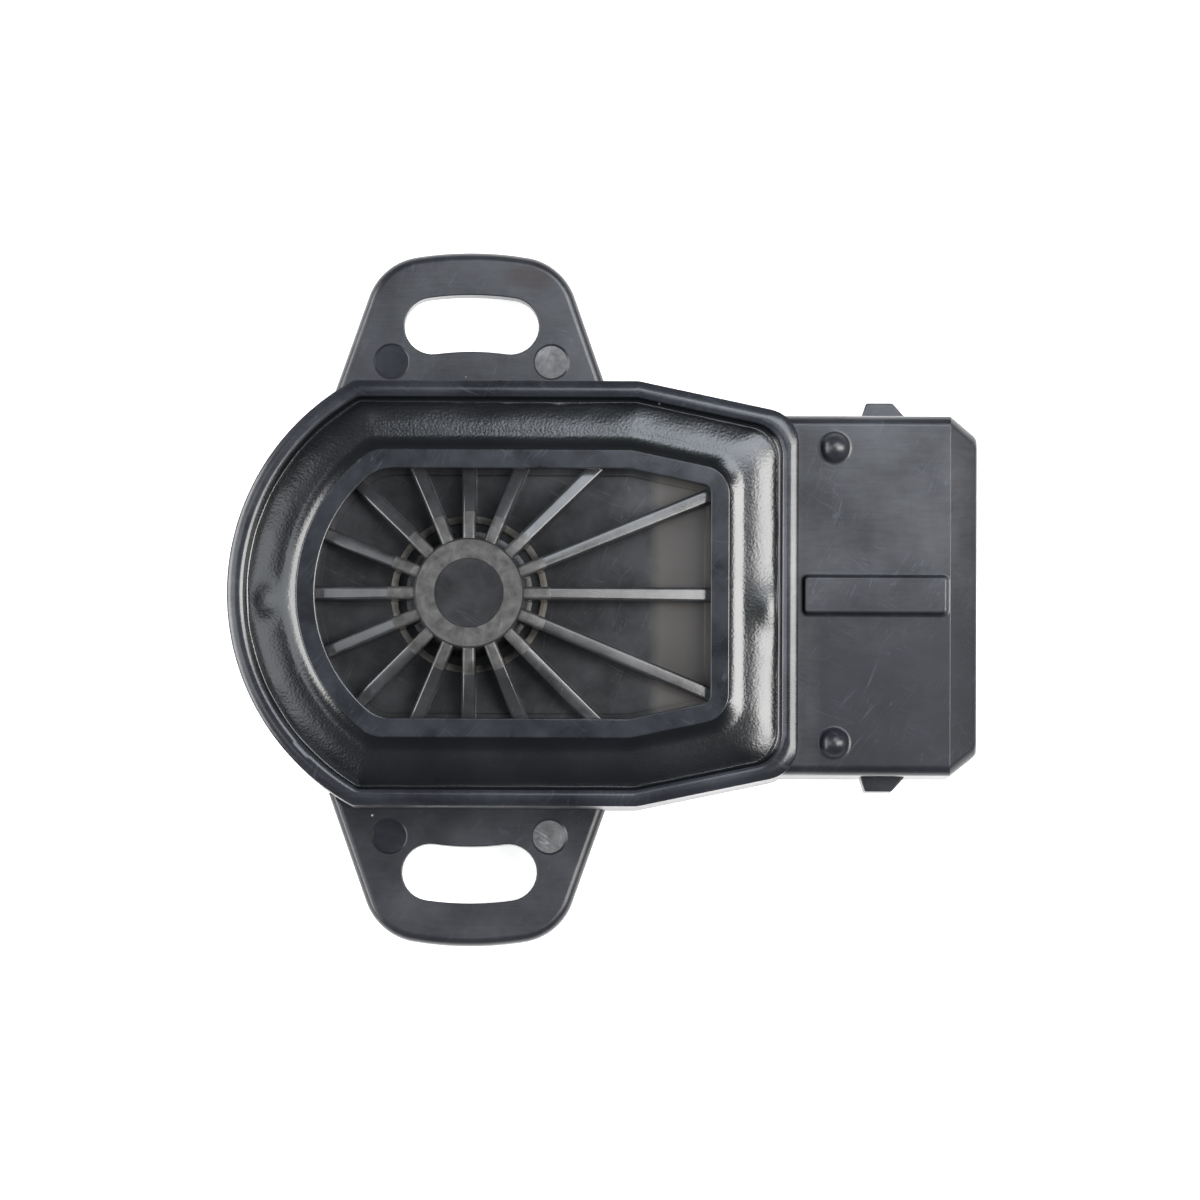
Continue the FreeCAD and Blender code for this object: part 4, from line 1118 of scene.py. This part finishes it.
def build_rotor(scene):
    """Moulded shaft with a drive slot, seal groove, flange, stop lug and upper pin."""
    sizes = scene.sensor_inner
    soft = 0.2 * MM
    groove, groove_half = sizes.journal_radius - sizes.seal_depth, sizes.seal_half
    end, pin_top = sizes.journal_end, ROTOR_BOX[1].z
    radius = sizes.journal_radius
    section = [
        (0.0, end), (radius - soft, end), (radius, end + soft), (radius, -groove_half),
        (groove, -groove_half), (groove, groove_half), (radius, groove_half), (radius, sizes.shoulder),
        (sizes.hub_radius, sizes.shoulder), (sizes.hub_radius, sizes.flange_bottom),
        (sizes.flange_radius, sizes.flange_bottom), (sizes.flange_radius, sizes.flange_top),
        (sizes.pin_radius, sizes.flange_top), (sizes.pin_radius, pin_top - soft),
        (sizes.pin_radius - soft, pin_top), (0.0, pin_top),
    ]
    piece = shape("rotor_shaft", turned(section, 96))
    start = sizes.lug_angle - sizes.lug_width / 2
    lug_bottom, lug_top = sizes.flange_bottom - sizes.lug_drop, sizes.flange_top - soft
    lug = sector(sizes.lug_inner, sizes.lug_outer, lug_bottom, lug_top, start, sizes.lug_width)
    combine(piece, "UNION", [lug])
    bm = bmesh.new()
    half_x, half_y, corner = sizes.drive_radius, sizes.drive_width / 2, sizes.drive_corner
    lead, past = sizes.drive_lead, 0.5 * MM
    rings = [
        block_ring(bm, (0, 0), half_x + wider, half_y + wider, corner, z)
        for z, wider in ((end - past, lead + past), (end + lead, 0.0), (end + sizes.drive_depth, 0.0))
    ]
    loft(bm, rings)
    combine(piece, "DIFFERENCE", [bm])
    return piece


def build_spring(scene):
    """Torsion spring: round turns, and straight legs to the stop post and the rotor's lug."""
    sizes = scene.sensor_inner
    low_box, high_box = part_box("return_spring")
    wire = sizes.spring_wire / 2
    low, high = low_box.z + wire, high_box.z - wire
    inside = sizes.lug_inner - wire - sizes.spring_gap
    lean = math.acos(sizes.spring_radius / inside)
    first = sizes.lug_angle - sizes.lug_width / 2 - sizes.stop_play - sizes.stop_width + lean
    last = sizes.lug_angle + sizes.lug_width / 2 - lean + 2 * math.pi * sizes.spring_turns
    leg = math.sqrt(((sizes.lug_inner + sizes.lug_outer) / 2) ** 2 - sizes.spring_radius ** 2)
    steps = 48 * sizes.spring_turns
    bm = bmesh.new()
    bmesh.ops.create_circle(bm, cap_ends=True, segments=12, radius=wire)
    stand_up(bm, bm.verts)
    turn = Matrix.Rotation(first, 4, "Z")
    place = turn @ Matrix.Translation((sizes.spring_radius, -leg, low))
    bmesh.ops.transform(bm, matrix=place, verts=bm.verts)
    run = extrude_end(bm, bm.faces[:], turn @ Vector((0.0, leg, 0.0)))
    made = bmesh.ops.spin(
        bm, geom=run, cent=(0, 0, 0), axis=UP, angle=last - first, steps=steps,
        dvec=(0, 0, (high - low) / steps),
    )
    run = [item for item in made["geom_last"] if isinstance(item, bmesh.types.BMFace)]
    extrude_end(bm, run, Matrix.Rotation(last, 4, "Z") @ Vector((0.0, leg, 0.0)))
    bmesh.ops.remove_doubles(bm, verts=bm.verts, dist=TINY)
    walled_in = [face for face in bm.faces if all(len(edge.link_faces) > 2 for edge in face.edges)]
    bmesh.ops.delete(bm, geom=walled_in, context="FACES_ONLY")
    return shape("spring_coil", bm)


def extrude_end(bm, faces, step):
    """Draws a run's end face on by one step and returns the new end face."""
    made = bmesh.ops.extrude_face_region(bm, geom=faces)["geom"]
    verts = [item for item in made if isinstance(item, bmesh.types.BMVert)]
    bmesh.ops.translate(bm, verts=verts, vec=step)
    return [item for item in made if isinstance(item, bmesh.types.BMFace)]


def add_node(tree, kind, inputs=None, **settings):
    """A node with its settings, and its inputs given as values or as sockets to link."""
    made = tree.nodes.new(kind)
    for key, value in settings.items():
        setattr(made, key, value)
    for key, value in (inputs or {}).items():
        if isinstance(value, bpy.types.NodeSocket):
            tree.links.new(value, made.inputs[key])
        else:
            made.inputs[key].default_value = value
    return made


def maths(tree, operation, first, second=0.0, clamp=False):
    node = add_node(tree, "ShaderNodeMath", {0: first, 1: second}, operation=operation, use_clamp=clamp)
    return node.outputs[0]


def spread(tree, value, low, high, to_low=0.0, to_high=1.0):
    """Maps the range low to high of a value onto another range."""
    node = add_node(
        tree, "ShaderNodeMapRange",
        {"Value": value, "From Min": low, "From Max": high, "To Min": to_low, "To Max": to_high},
    )
    return node.outputs["Result"]


def tint(tree, mask, first, second):
    """Mixes two colours, each a value or a socket."""
    node = add_node(tree, "ShaderNodeMix", data_type="RGBA")
    for socket, value in ((0, mask), (6, first), (7, second)):
        if isinstance(value, bpy.types.NodeSocket):
            tree.links.new(value, node.inputs[socket])
        else:
            node.inputs[socket].default_value = value
    return node.outputs[2]


def millimetres(tree):
    """Object coordinates in millimetres."""
    place = add_node(tree, "ShaderNodeTexCoord").outputs["Object"]
    node = add_node(tree, "ShaderNodeVectorMath", {0: place, "Scale": 1 / MM}, operation="SCALE")
    return node.outputs["Vector"]


def noise_value(tree, place, size, detail=2.0, roughness=0.5):
    """Noise whose features are about size millimetres wide."""
    scale = maths(tree, "DIVIDE", 1.0, size) if isinstance(size, bpy.types.NodeSocket) else 1.0 / size
    node = add_node(
        tree, "ShaderNodeTexNoise",
        {"Vector": place, "Scale": scale, "Detail": detail, "Roughness": roughness},
    )
    return node.outputs["Fac"]


def new_group(name, inputs, outputs):
    group = bpy.data.node_groups.new(name, "ShaderNodeTree")
    for label, default in inputs:
        socket = group.interface.new_socket(label, in_out="INPUT", socket_type="NodeSocketFloat")
        socket.default_value = default
    for label in outputs:
        group.interface.new_socket(label, in_out="OUTPUT", socket_type="NodeSocketFloat")
    return group, group.nodes.new("NodeGroupInput").outputs, group.nodes.new("NodeGroupOutput").inputs


def moulded_skin():
    """Group: slow clouds, drawn streaks, lines round the rotor axis and fine grain."""
    name = "moulded_skin"
    if name in bpy.data.node_groups:
        return bpy.data.node_groups[name]
    sizes = (("Cloud size", 6.0), ("Grain size", 0.15))
    group, given, result = new_group(name, sizes, ("Clouds", "Streaks", "Turned lines", "Grain"))
    place = millimetres(group)
    drawn = add_node(group, "ShaderNodeMapping", {"Vector": place, "Scale": (0.45, 4.5, 1.0)})
    streaks = noise_value(group, drawn.outputs["Vector"], 1.0, 4.0, 0.6)
    group.links.new(spread(group, streaks, 0.2, 0.8), result["Streaks"])
    parts = add_node(group, "ShaderNodeSeparateXYZ", {"Vector": place}).outputs
    reach = add_node(group, "ShaderNodeVectorMath", {0: place}, operation="LENGTH").outputs["Value"]
    heading = maths(group, "ARCTAN2", parts["Y"], parts["X"])
    round_place = add_node(
        group, "ShaderNodeCombineXYZ",
        {"X": maths(group, "MULTIPLY", heading, 4.0), "Y": maths(group, "MULTIPLY", reach, 5.5)},
    ).outputs["Vector"]
    turned_lines = noise_value(group, round_place, 1.0, 3.0)
    group.links.new(spread(group, turned_lines, 0.3, 0.7), result["Turned lines"])
    clouds = noise_value(group, place, given["Cloud size"], 4.0, 0.6)
    group.links.new(spread(group, clouds, 0.3, 0.7), result["Clouds"])
    group.links.new(noise_value(group, place, given["Grain size"], 3.0), result["Grain"])
    return group


def scratch_layer(tree, place, turn, offset):
    """Thin lines along one direction in patches of their own, as a mask."""
    aside = add_node(
        tree, "ShaderNodeVectorRotate", {"Vector": place, "Angle": turn}, rotation_type="Z_AXIS",
    ).outputs["Vector"]
    lie = add_node(
        tree, "ShaderNodeMapping",
        {"Vector": aside, "Scale": (0.1, 1.3, 0.4), "Location": (offset, 0, 0)},
    ).outputs["Vector"]
    off = maths(tree, "ABSOLUTE", maths(tree, "SUBTRACT", noise_value(tree, lie, 1.0), 0.5))
    shifted = add_node(tree, "ShaderNodeMapping", {"Vector": place, "Location": (0, 5 * offset, 0)})
    patches = spread(tree, noise_value(tree, shifted.outputs["Vector"], 3.5), 0.5, 0.7)
    return maths(tree, "MULTIPLY", spread(tree, off, 0.0, 0.012, 1.0, 0.0), patches)


def handling_marks():
    """Group: fine scratches in patches, and a few specks of dust."""
    name = "handling_marks"
    if name in bpy.data.node_groups:
        return bpy.data.node_groups[name]
    group, given, result = new_group(name, (("Speck spacing", 2.6),), ("Scratches", "Specks"))
    place = millimetres(group)
    lines = scratch_layer(group, place, 0.5, 0.0)
    for turn, offset in ((-0.9, 7.0), (1.9, 13.0)):
        lines = maths(group, "MAXIMUM", lines, scratch_layer(group, place, turn, offset))
    group.links.new(lines, result["Scratches"])
    cells = add_node(
        group, "ShaderNodeTexVoronoi",
        {"Vector": place, "Scale": maths(group, "DIVIDE", 1.0, given["Speck spacing"])},
    )
    dots = spread(group, cells.outputs["Distance"], 0.015, 0.045, 1.0, 0.0)
    level = add_node(group, "ShaderNodeSeparateColor", {"Color": cells.outputs["Color"]}).outputs["Red"]
    group.links.new(maths(group, "MULTIPLY", dots, spread(group, level, 0.8, 0.82)), result["Specks"])
    return group


def opaque(rgb):
    return (rgb[0], rgb[1], rgb[2], 1.0)


def shade(rgb, factor):
    return (rgb[0] * factor, rgb[1] * factor, rgb[2] * factor, 1.0)


def new_material(name):
    material = bpy.data.materials.new(name)
    material.use_nodes = True
    return material, material.node_tree, material.node_tree.nodes["Principled BSDF"]


def skin_node(tree, cloud_size, grain_size=0.15):
    """The outputs of a moulded skin with its own sizes, in millimetres."""
    skin = add_node(
        tree, "ShaderNodeGroup", {"Cloud size": cloud_size, "Grain size": grain_size},
        node_tree=moulded_skin(),
    )
    return skin.outputs


def emboss(tree, surface, height, depth):
    """Raises a surface by a height from 0 to 1 that is depth millimetres deep."""
    relief = add_node(tree, "ShaderNodeBump", {"Height": height, "Strength": 1.0, "Distance": depth * MM})
    tree.links.new(relief.outputs["Normal"], surface.inputs["Normal"])


def moulded_plastic(
    name, rgb, roughness, cloud_size=5.0, grain_size=0.15, grain_depth=0.004, marks=1.0, streaks=0.25,
    contrast=0.2, polished_above=None, lines="Streaks",
):
    """Black moulding: clouded sheen, fine grain, light scratches and dust."""
    material, tree, surface = new_material(name)
    skin = skin_node(tree, cloud_size, grain_size)
    mottle = maths(tree, "ADD", skin["Clouds"], maths(tree, "MULTIPLY", skin[lines], streaks))
    mottle = spread(tree, mottle, 0.0, 1.0 + streaks)
    base = tint(tree, mottle, shade(rgb, 0.6), shade(rgb, 1.5))
    if marks:
        wear = add_node(tree, "ShaderNodeGroup", node_tree=handling_marks()).outputs
        base = tint(tree, maths(tree, "MULTIPLY", wear["Scratches"], 0.4 * marks), base, shade(rgb, 5.0))
        base = tint(tree, maths(tree, "MULTIPLY", wear["Specks"], 0.8 * marks), base, opaque(DUST))
    tree.links.new(base, surface.inputs["Base Color"])
    surface.inputs["Specular IOR Level"].default_value = 0.52 - contrast
    surface.inputs["Coat Roughness"].default_value = roughness
    tree.links.new(spread(tree, mottle, 0.15, 0.85, 0.0, 4.0 * contrast), surface.inputs["Coat Weight"])
    rough = spread(tree, mottle, 0.0, 1.0, roughness - 0.04, roughness + 0.03)
    if polished_above is not None:
        up = add_node(tree, "ShaderNodeSeparateXYZ", {"Vector": millimetres(tree)}).outputs["Z"]
        level = polished_above / MM
        polish = 0.66
        rough = maths(tree, "MULTIPLY", rough, spread(tree, up, level - 0.2, level, 1.0, polish))
    tree.links.new(rough, surface.inputs["Roughness"])
    emboss(tree, surface, skin["Grain"], grain_depth)
    return material


def repaint(material, mask, rgb):
    """Lays a colour over a material's base colour, where the mask says."""
    tree = material.node_tree
    base = tree.nodes["Principled BSDF"].inputs["Base Color"]
    tree.links.new(tint(tree, mask, base.links[0].from_socket, opaque(rgb)), base)


def smooth_patch(material, mask, roughness):
    """Makes a patch of a moulding smoother and takes its sheen off."""
    tree = material.node_tree
    surface = tree.nodes["Principled BSDF"]
    for name, value in (("Roughness", roughness), ("Coat Weight", 0.0)):
        socket = surface.inputs[name]
        before = socket.links[0].from_socket
        patch = add_node(tree, "ShaderNodeMix", {0: mask, 2: before, 3: value})
        tree.links.new(patch.outputs[0], socket)


def connector_half_mask(tree, start):
    """The connector's lower half beyond start, with a soft ragged edge."""
    place = millimetres(tree)
    parts = add_node(tree, "ShaderNodeSeparateXYZ", {"Vector": place}).outputs
    drift = maths(tree, "MULTIPLY", noise_value(tree, place, 4.0), 6.0)
    lower = spread(tree, maths(tree, "ADD", parts["Y"], drift), 4.0, -2.0)
    return maths(tree, "MULTIPLY", lower, spread(tree, parts["X"], start / MM, start / MM + 1.0))


def spot_mask(tree, centre, radius):
    """A soft spot with a ragged edge, twice as wide along X as along Y."""
    place = millimetres(tree)
    parts = add_node(tree, "ShaderNodeSeparateXYZ", {"Vector": place}).outputs
    across = maths(tree, "MULTIPLY", maths(tree, "SUBTRACT", parts["X"], centre[0] / MM), 0.5)
    along = maths(tree, "SUBTRACT", parts["Y"], centre[1] / MM)
    off = add_node(tree, "ShaderNodeCombineXYZ", {"X": across, "Y": along}).outputs["Vector"]
    away = add_node(tree, "ShaderNodeVectorMath", {0: off}, operation="LENGTH").outputs["Value"]
    ragged = maths(tree, "ADD", away, noise_value(tree, place, 1.0, 3.0))
    edge = 0.5 * radius / MM + 0.5
    return spread(tree, ragged, edge - 0.25, edge + 0.25, 0.8, 0.0)


def floor_end_reflection_mask(tree, start, below):
    """The end of the cover's floor beyond start, with a ragged edge, for a painted reflection of the right
    softbox.
    """
    place = millimetres(tree)
    parts = add_node(tree, "ShaderNodeSeparateXYZ", {"Vector": place}).outputs
    ragged = maths(tree, "ADD", parts["X"], noise_value(tree, place, 2.5, 3.0))
    begin = start / MM + 0.5
    beyond = spread(tree, ragged, begin - 0.5, begin + 0.5)
    return maths(tree, "MULTIPLY", beyond, spread(tree, parts["Z"], below / MM, below / MM + 0.1, 1.0, 0.0))


def cast_resin(name, rgb):
    """Glossy cast resin with an orange-peel skin."""
    material, tree, surface = new_material(name)
    surface.inputs["Specular IOR Level"].default_value = 0.64
    place = millimetres(tree)
    clouds = skin_node(tree, 5.0)["Clouds"]
    wear = add_node(tree, "ShaderNodeGroup", node_tree=handling_marks()).outputs
    base = tint(tree, clouds, shade(rgb, 0.85), shade(rgb, 1.3))
    base = tint(tree, maths(tree, "MULTIPLY", wear["Specks"], 0.5), base, shade(DUST, 0.8))
    tree.links.new(base, surface.inputs["Base Color"])
    tree.links.new(spread(tree, clouds, 0.0, 1.0, 0.20, 0.24), surface.inputs["Roughness"])
    waves = maths(tree, "MULTIPLY", noise_value(tree, place, 0.6, 0.0), 0.5)
    peel = maths(tree, "ADD", noise_value(tree, place, 0.2, 0.0), waves)
    emboss(tree, surface, peel, 0.008)
    return material


def metal(name, rgb, roughness):
    """Plain metal with a drawn or plated skin."""
    material, tree, surface = new_material(name)
    skin = skin_node(tree, 1.5, 0.2)
    base = tint(tree, skin["Clouds"], shade(rgb, 0.85), shade(rgb, 1.1))
    tree.links.new(base, surface.inputs["Base Color"])
    surface.inputs["Metallic"].default_value = 1.0
    rough = spread(tree, skin["Clouds"], 0.0, 1.0, roughness - 0.06, roughness + 0.08)
    tree.links.new(rough, surface.inputs["Roughness"])
    emboss(tree, surface, skin["Grain"], 0.002)
    return material


class SENSOR_OT_housing(bpy.types.Operator):
    """Models the moulded case with its ears, connector shroud and pilot ring"""

    bl_idname = "sensor.add_housing"
    bl_label = "Housing"

    def execute(self, context):
        scene = context.scene
        ear, colours = scene.sensor_ear, scene.sensor_finish
        rgb = colours.housing
        piece = build_housing(scene)
        finish = moulded_plastic(
            "black_moulding", rgb, 0.33, cloud_size=6.0, streaks=0.4, contrast=0.11,
            polished_above=scene.sensor_cover.top,
        )
        stain = spot_mask(finish.node_tree, ear.stain_place, ear.stain_radius)
        repaint(finish, stain, colours.stain)
        clear_of_case = 1.0 * MM
        lower_half = connector_half_mask(finish.node_tree, scene.sensor_case.length + clear_of_case)
        smooth_patch(finish, lower_half, 0.29)
        smooth = moulded_plastic("pin_mark_smooth", rgb, 0.22, marks=0.2)
        # Right-hand pin marks: dull, and painted a paler grey as painted light.
        dull = moulded_plastic("pin_mark_dull", colours.pin_mark, 0.5, cloud_size=1.0)
        mark_pin_faces(piece, ear)
        dress(piece, [finish, smooth, dull], ["housing"])
        return {"FINISHED"}


class SENSOR_OT_cover(bpy.types.Operator):
    """Models the ribbed rear cover"""

    bl_idname = "sensor.add_cover"
    bl_label = "Rear cover"

    def execute(self, context):
        scene = context.scene
        cover, colours = scene.sensor_cover, scene.sensor_finish
        piece = build_cover(scene)
        finish = moulded_plastic(
            "cover_moulding", colours.cover, 0.18, cloud_size=4.0, streaks=0.1, contrast=0.06, marks=0.5,
        )
        # The floor's pale end is a painted reflection of the right softbox.
        above_ledge = 0.1 * MM
        painted_reflection_top = cover.floor + cover.ledge_height + above_ledge
        mask = floor_end_reflection_mask(finish.node_tree, cover.painted_reflection_start, painted_reflection_top)
        repaint(finish, mask, colours.floor_end_painted_reflection)
        hub = moulded_plastic(
            "hub_matt_face", colours.hub_face, 0.5, cloud_size=1.2, grain_size=0.1, grain_depth=0.01,
            streaks=2.0, lines="Turned lines",
        )
        # Rib crests: painted lighter, a painted highlight on the level tops.
        crest = moulded_plastic("rib_crest", colours.crest, 0.4, cloud_size=1.0, grain_depth=0.008)
        # Groove lip: painted pale, a painted reflection of the lamps.
        lip = moulded_plastic("groove_lip", colours.groove_lip, 0.6, cloud_size=1.5)
        # Rim: painted darker than the cover moulding, painted shade on its top.
        rim = moulded_plastic(
            "cover_rim", colours.cover_rim, 0.2, cloud_size=3.0, streaks=0.1, contrast=0.08,
        )
        mark_cover_faces(piece, cover)
        dress(piece, [finish, hub, crest, lip, rim], ["rear_cover"])
        return {"FINISHED"}


class SENSOR_OT_resin(bpy.types.Operator):
    """Models the resin cast round the cover"""

    bl_idname = "sensor.add_resin"
    bl_label = "Potting resin"

    def execute(self, context):
        piece = build_resin(context.scene)
        finish = cast_resin("cast_resin", context.scene.sensor_finish.resin)
        dress(piece, [finish], ["potting_resin"], crease=60.0)
        return {"FINISHED"}


class SENSOR_OT_terminals(bpy.types.Operator):
    """Models the four blade terminals"""

    bl_idname = "sensor.add_terminals"
    bl_label = "Terminals"

    def execute(self, context):
        finish = metal("tin_plating", context.scene.sensor_finish.tin, 0.3)
        for place, name in enumerate(TERMINAL_NAMES):
            dress(build_terminal(context.scene, place), [finish], [name])
        return {"FINISHED"}


class SENSOR_OT_rotor(bpy.types.Operator):
    """Models the rotor and its return spring"""

    bl_idname = "sensor.add_rotor"
    bl_label = "Rotor and spring"

    def execute(self, context):
        colours = context.scene.sensor_finish
        finish = moulded_plastic("rotor_moulding", colours.rotor, 0.45)
        dress(build_rotor(context.scene), [finish], ["rotor"], body="rotor")
        spring = build_spring(context.scene)
        spring.data.shade_smooth()
        spring.data.materials.append(metal("spring_wire", colours.spring, 0.3))
        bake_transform(spring)
        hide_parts("return_spring")
        return {"FINISHED"}


class SENSOR_OT_inner_finishes(bpy.types.Operator):
    """Finishes the small pieces inside that keep their frame shapes"""

    bl_idname = "sensor.finish_inner_pieces"
    bl_label = "Inner pieces"

    def execute(self, context):
        colours = context.scene.sensor_finish
        silver = metal("printed_silver", colours.silver, 0.35)
        bronze = metal("contact_bronze", colours.bronze, 0.28)
        solder = metal("soft_solder", colours.solder, 0.25)
        carbon = moulded_plastic("printed_carbon", colours.carbon, 0.5, marks=0.0)
        finishes = {
            "rotor_seal": moulded_plastic("ring_rubber", colours.rubber, 0.6, marks=0.0),
            "thrust_washer": metal("ground_steel", colours.steel, 0.3),
            "resistor_board": moulded_plastic("board_glass", colours.laminate, 0.45, grain_size=0.3),
            "resistor_track": carbon,
            "idle_track": silver,
            "collector_tracks": silver,
            "solder_pads": solder,
            "solder_joints": solder,
            "wiper_signal": bronze,
            "wiper_idle": bronze,
        }
        for name, finish in finishes.items():
            mesh = frame["nodes"][name].data
            mesh.materials.clear()
            mesh.materials.append(finish)
        return {"FINISHED"}


def aim(thing, target):
    thing.rotation_euler = (Vector(target) - thing.location).to_track_quat("-Z", "Y").to_euler()


def softbox(name, location, target, size, brightness, rgb):
    """An area lamp of a given brightness, aimed at a point."""
    width, depth = size
    lamp = bpy.data.lights.new(name, "AREA")
    lamp.shape = "RECTANGLE"
    lamp.size, lamp.size_y = width, depth
    lamp.energy = brightness * 4 * width * depth
    lamp.color = rgb
    made = bpy.data.objects.new(name, lamp)
    bpy.context.scene.collection.objects.link(made)
    made.location = location
    aim(made, target)
    made.visible_camera = False
    return made


def stage_camera(scene):
    stage = scene.sensor_stage
    target = Vector((stage.aim_x, stage.aim_y, stage.aim_z))
    data = bpy.data.cameras.new("camera")
    data.lens = stage.focal
    data.sensor_width = 36.0
    made = bpy.data.objects.new("camera", data)
    scene.collection.objects.link(made)
    lean = Matrix.Rotation(stage.tilt, 4, "X") @ Matrix.Rotation(stage.roll, 4, "Z")
    made.matrix_world = Matrix.Translation(target) @ lean @ Matrix.Translation((0, 0, stage.distance))
    scene.camera = made


def stage_floor(scene):
    """White floor that keeps the sensor's shadow, and that can be seen through from below."""
    half_size, gap, glow = 4.0, 0.02 * MM, 0.78
    bm = bmesh.new()
    bmesh.ops.create_grid(bm, x_segments=1, y_segments=1, size=half_size)
    bmesh.ops.translate(bm, verts=bm.verts, vec=(0, 0, CAD_BOX[0].z - gap))
    floor = shape("floor", bm)
    material, tree, surface = new_material("floor_white")
    surface.inputs["Base Color"].default_value = opaque(scene.sensor_finish.floor)
    surface.inputs["Roughness"].default_value = 0.9
    surface.inputs["Specular IOR Level"].default_value = 0.0
    surface.inputs["Emission Color"].default_value = opaque(WHITE)
    light_path = add_node(tree, "ShaderNodeLightPath").outputs
    seen = maths(tree, "MAXIMUM", light_path["Is Camera Ray"], light_path["Is Glossy Ray"])
    seen = maths(tree, "MAXIMUM", seen, light_path["Is Transmission Ray"])
    tree.links.new(maths(tree, "MULTIPLY", seen, glow), surface.inputs["Emission Strength"])
    below = add_node(tree, "ShaderNodeNewGeometry").outputs["Backfacing"]
    clear = add_node(tree, "ShaderNodeBsdfTransparent").outputs["BSDF"]
    either = add_node(tree, "ShaderNodeMixShader", {0: below, 1: surface.outputs["BSDF"], 2: clear})
    tree.links.new(either.outputs["Shader"], tree.nodes["Material Output"].inputs["Surface"])
    floor.data.materials.append(material)


def stage_world(scene):
    """Dim bluish sky that turns warmer and brighter towards the horizon, and is white to the camera."""
    stage = scene.sensor_stage
    world = bpy.data.worlds.new("studio")
    world.use_nodes = True
    tree = world.node_tree
    heading = add_node(tree, "ShaderNodeTexCoord").outputs["Generated"]
    up = add_node(tree, "ShaderNodeSeparateXYZ", {"Vector": heading}).outputs["Z"]
    low = spread(tree, up, 0.0, math.sin(stage.horizon_height), 1.0, 0.0)
    zenith = shade(SKY_BLUE, stage.sky_brightness)
    horizon = shade(HORIZON_GLOW, stage.horizon_brightness)
    seen = add_node(tree, "ShaderNodeLightPath").outputs["Is Camera Ray"]
    sky = tint(tree, seen, tint(tree, low, zenith, horizon), opaque(WHITE))
    tree.links.new(sky, tree.nodes["Background"].inputs["Color"])
    scene.world = world


class SENSOR_OT_stage(bpy.types.Operator):
    """Sets up the floor, the soft lights and the camera"""

    bl_idname = "sensor.set_stage"
    bl_label = "Stage"

    def execute(self, context):
        scene = context.scene
        stage = scene.sensor_stage
        stage_camera(scene)
        stage_floor(scene)
        middle = Vector((stage.aim_x, 0.0, stage.aim_z))
        right = middle + Matrix.Rotation(stage.right_lean, 3, "Y") @ UP * stage.right_distance
        left = middle + Matrix.Rotation(-stage.left_lean, 3, "Y") @ UP * stage.left_distance
        fill = middle + Matrix.Rotation(-stage.fill_lean, 3, "Y") @ UP * stage.left_distance
        top = Vector(stage.top_place)
        softbox("right_softbox", right, middle, stage.right_size, stage.right_brightness, WARM_WHITE)
        softbox("left_softbox", left, middle, stage.left_size, stage.left_brightness, WHITE)
        softbox("left_fill", fill, middle, stage.fill_size, stage.fill_brightness, COOL_WHITE)
        panel = softbox("top_panel", top, top - UP, stage.top_size, stage.top_brightness, SKY_BLUE)
        panel.rotation_euler = (0.0, 0.0, stage.top_turn)
        stage_world(scene)
        scene.view_settings.view_transform = "Standard"
        return {"FINISHED"}


OPERATORS = (
    SENSOR_OT_housing, SENSOR_OT_cover, SENSOR_OT_resin, SENSOR_OT_terminals, SENSOR_OT_rotor,
    SENSOR_OT_inner_finishes, SENSOR_OT_stage,
)
GROUPS = {
    "sensor_case": CaseSizes,
    "sensor_ear": EarSizes,
    "sensor_shroud": ShroudSizes,
    "sensor_cover": CoverSizes,
    "sensor_resin": ResinSizes,
    "sensor_inner": InnerSizes,
    "sensor_terminal": TerminalSizes,
    "sensor_finish": Finishes,
    "sensor_stage": StageSettings,
}


class SENSOR_PT_panel(bpy.types.Panel):
    """Lists the sensor's pieces and the sizes that shape them"""

    bl_idname = "SENSOR_PT_panel"
    bl_label = "Throttle position sensor"
    bl_space_type = "VIEW_3D"
    bl_region_type = "UI"
    bl_category = "Sensor"

    def draw(self, context):
        for operator in OPERATORS:
            self.layout.operator(operator.bl_idname)
        for attribute, group in GROUPS.items():
            box = self.layout.box()
            for name in group.__annotations__:
                box.prop(getattr(context.scene, attribute), name)


def register():
    for group in GROUPS.values():
        bpy.utils.register_class(group)
    for operator in OPERATORS:
        bpy.utils.register_class(operator)
    bpy.utils.register_class(SENSOR_PT_panel)
    for attribute, group in GROUPS.items():
        setattr(bpy.types.Scene, attribute, PointerProperty(type=group))


def unregister():
    for attribute in GROUPS:
        delattr(bpy.types.Scene, attribute)
    bpy.utils.unregister_class(SENSOR_PT_panel)
    for operator in reversed(OPERATORS):
        bpy.utils.unregister_class(operator)
    for group in reversed(list(GROUPS.values())):
        bpy.utils.unregister_class(group)


def main():
    register()
    bpy.ops.sensor.add_housing()
    bpy.ops.sensor.add_cover()
    bpy.ops.sensor.add_resin()
    bpy.ops.sensor.add_terminals()
    bpy.ops.sensor.add_rotor()
    bpy.ops.sensor.finish_inner_pieces()
    bpy.ops.sensor.set_stage()


if __name__ == "__main__":
    main()
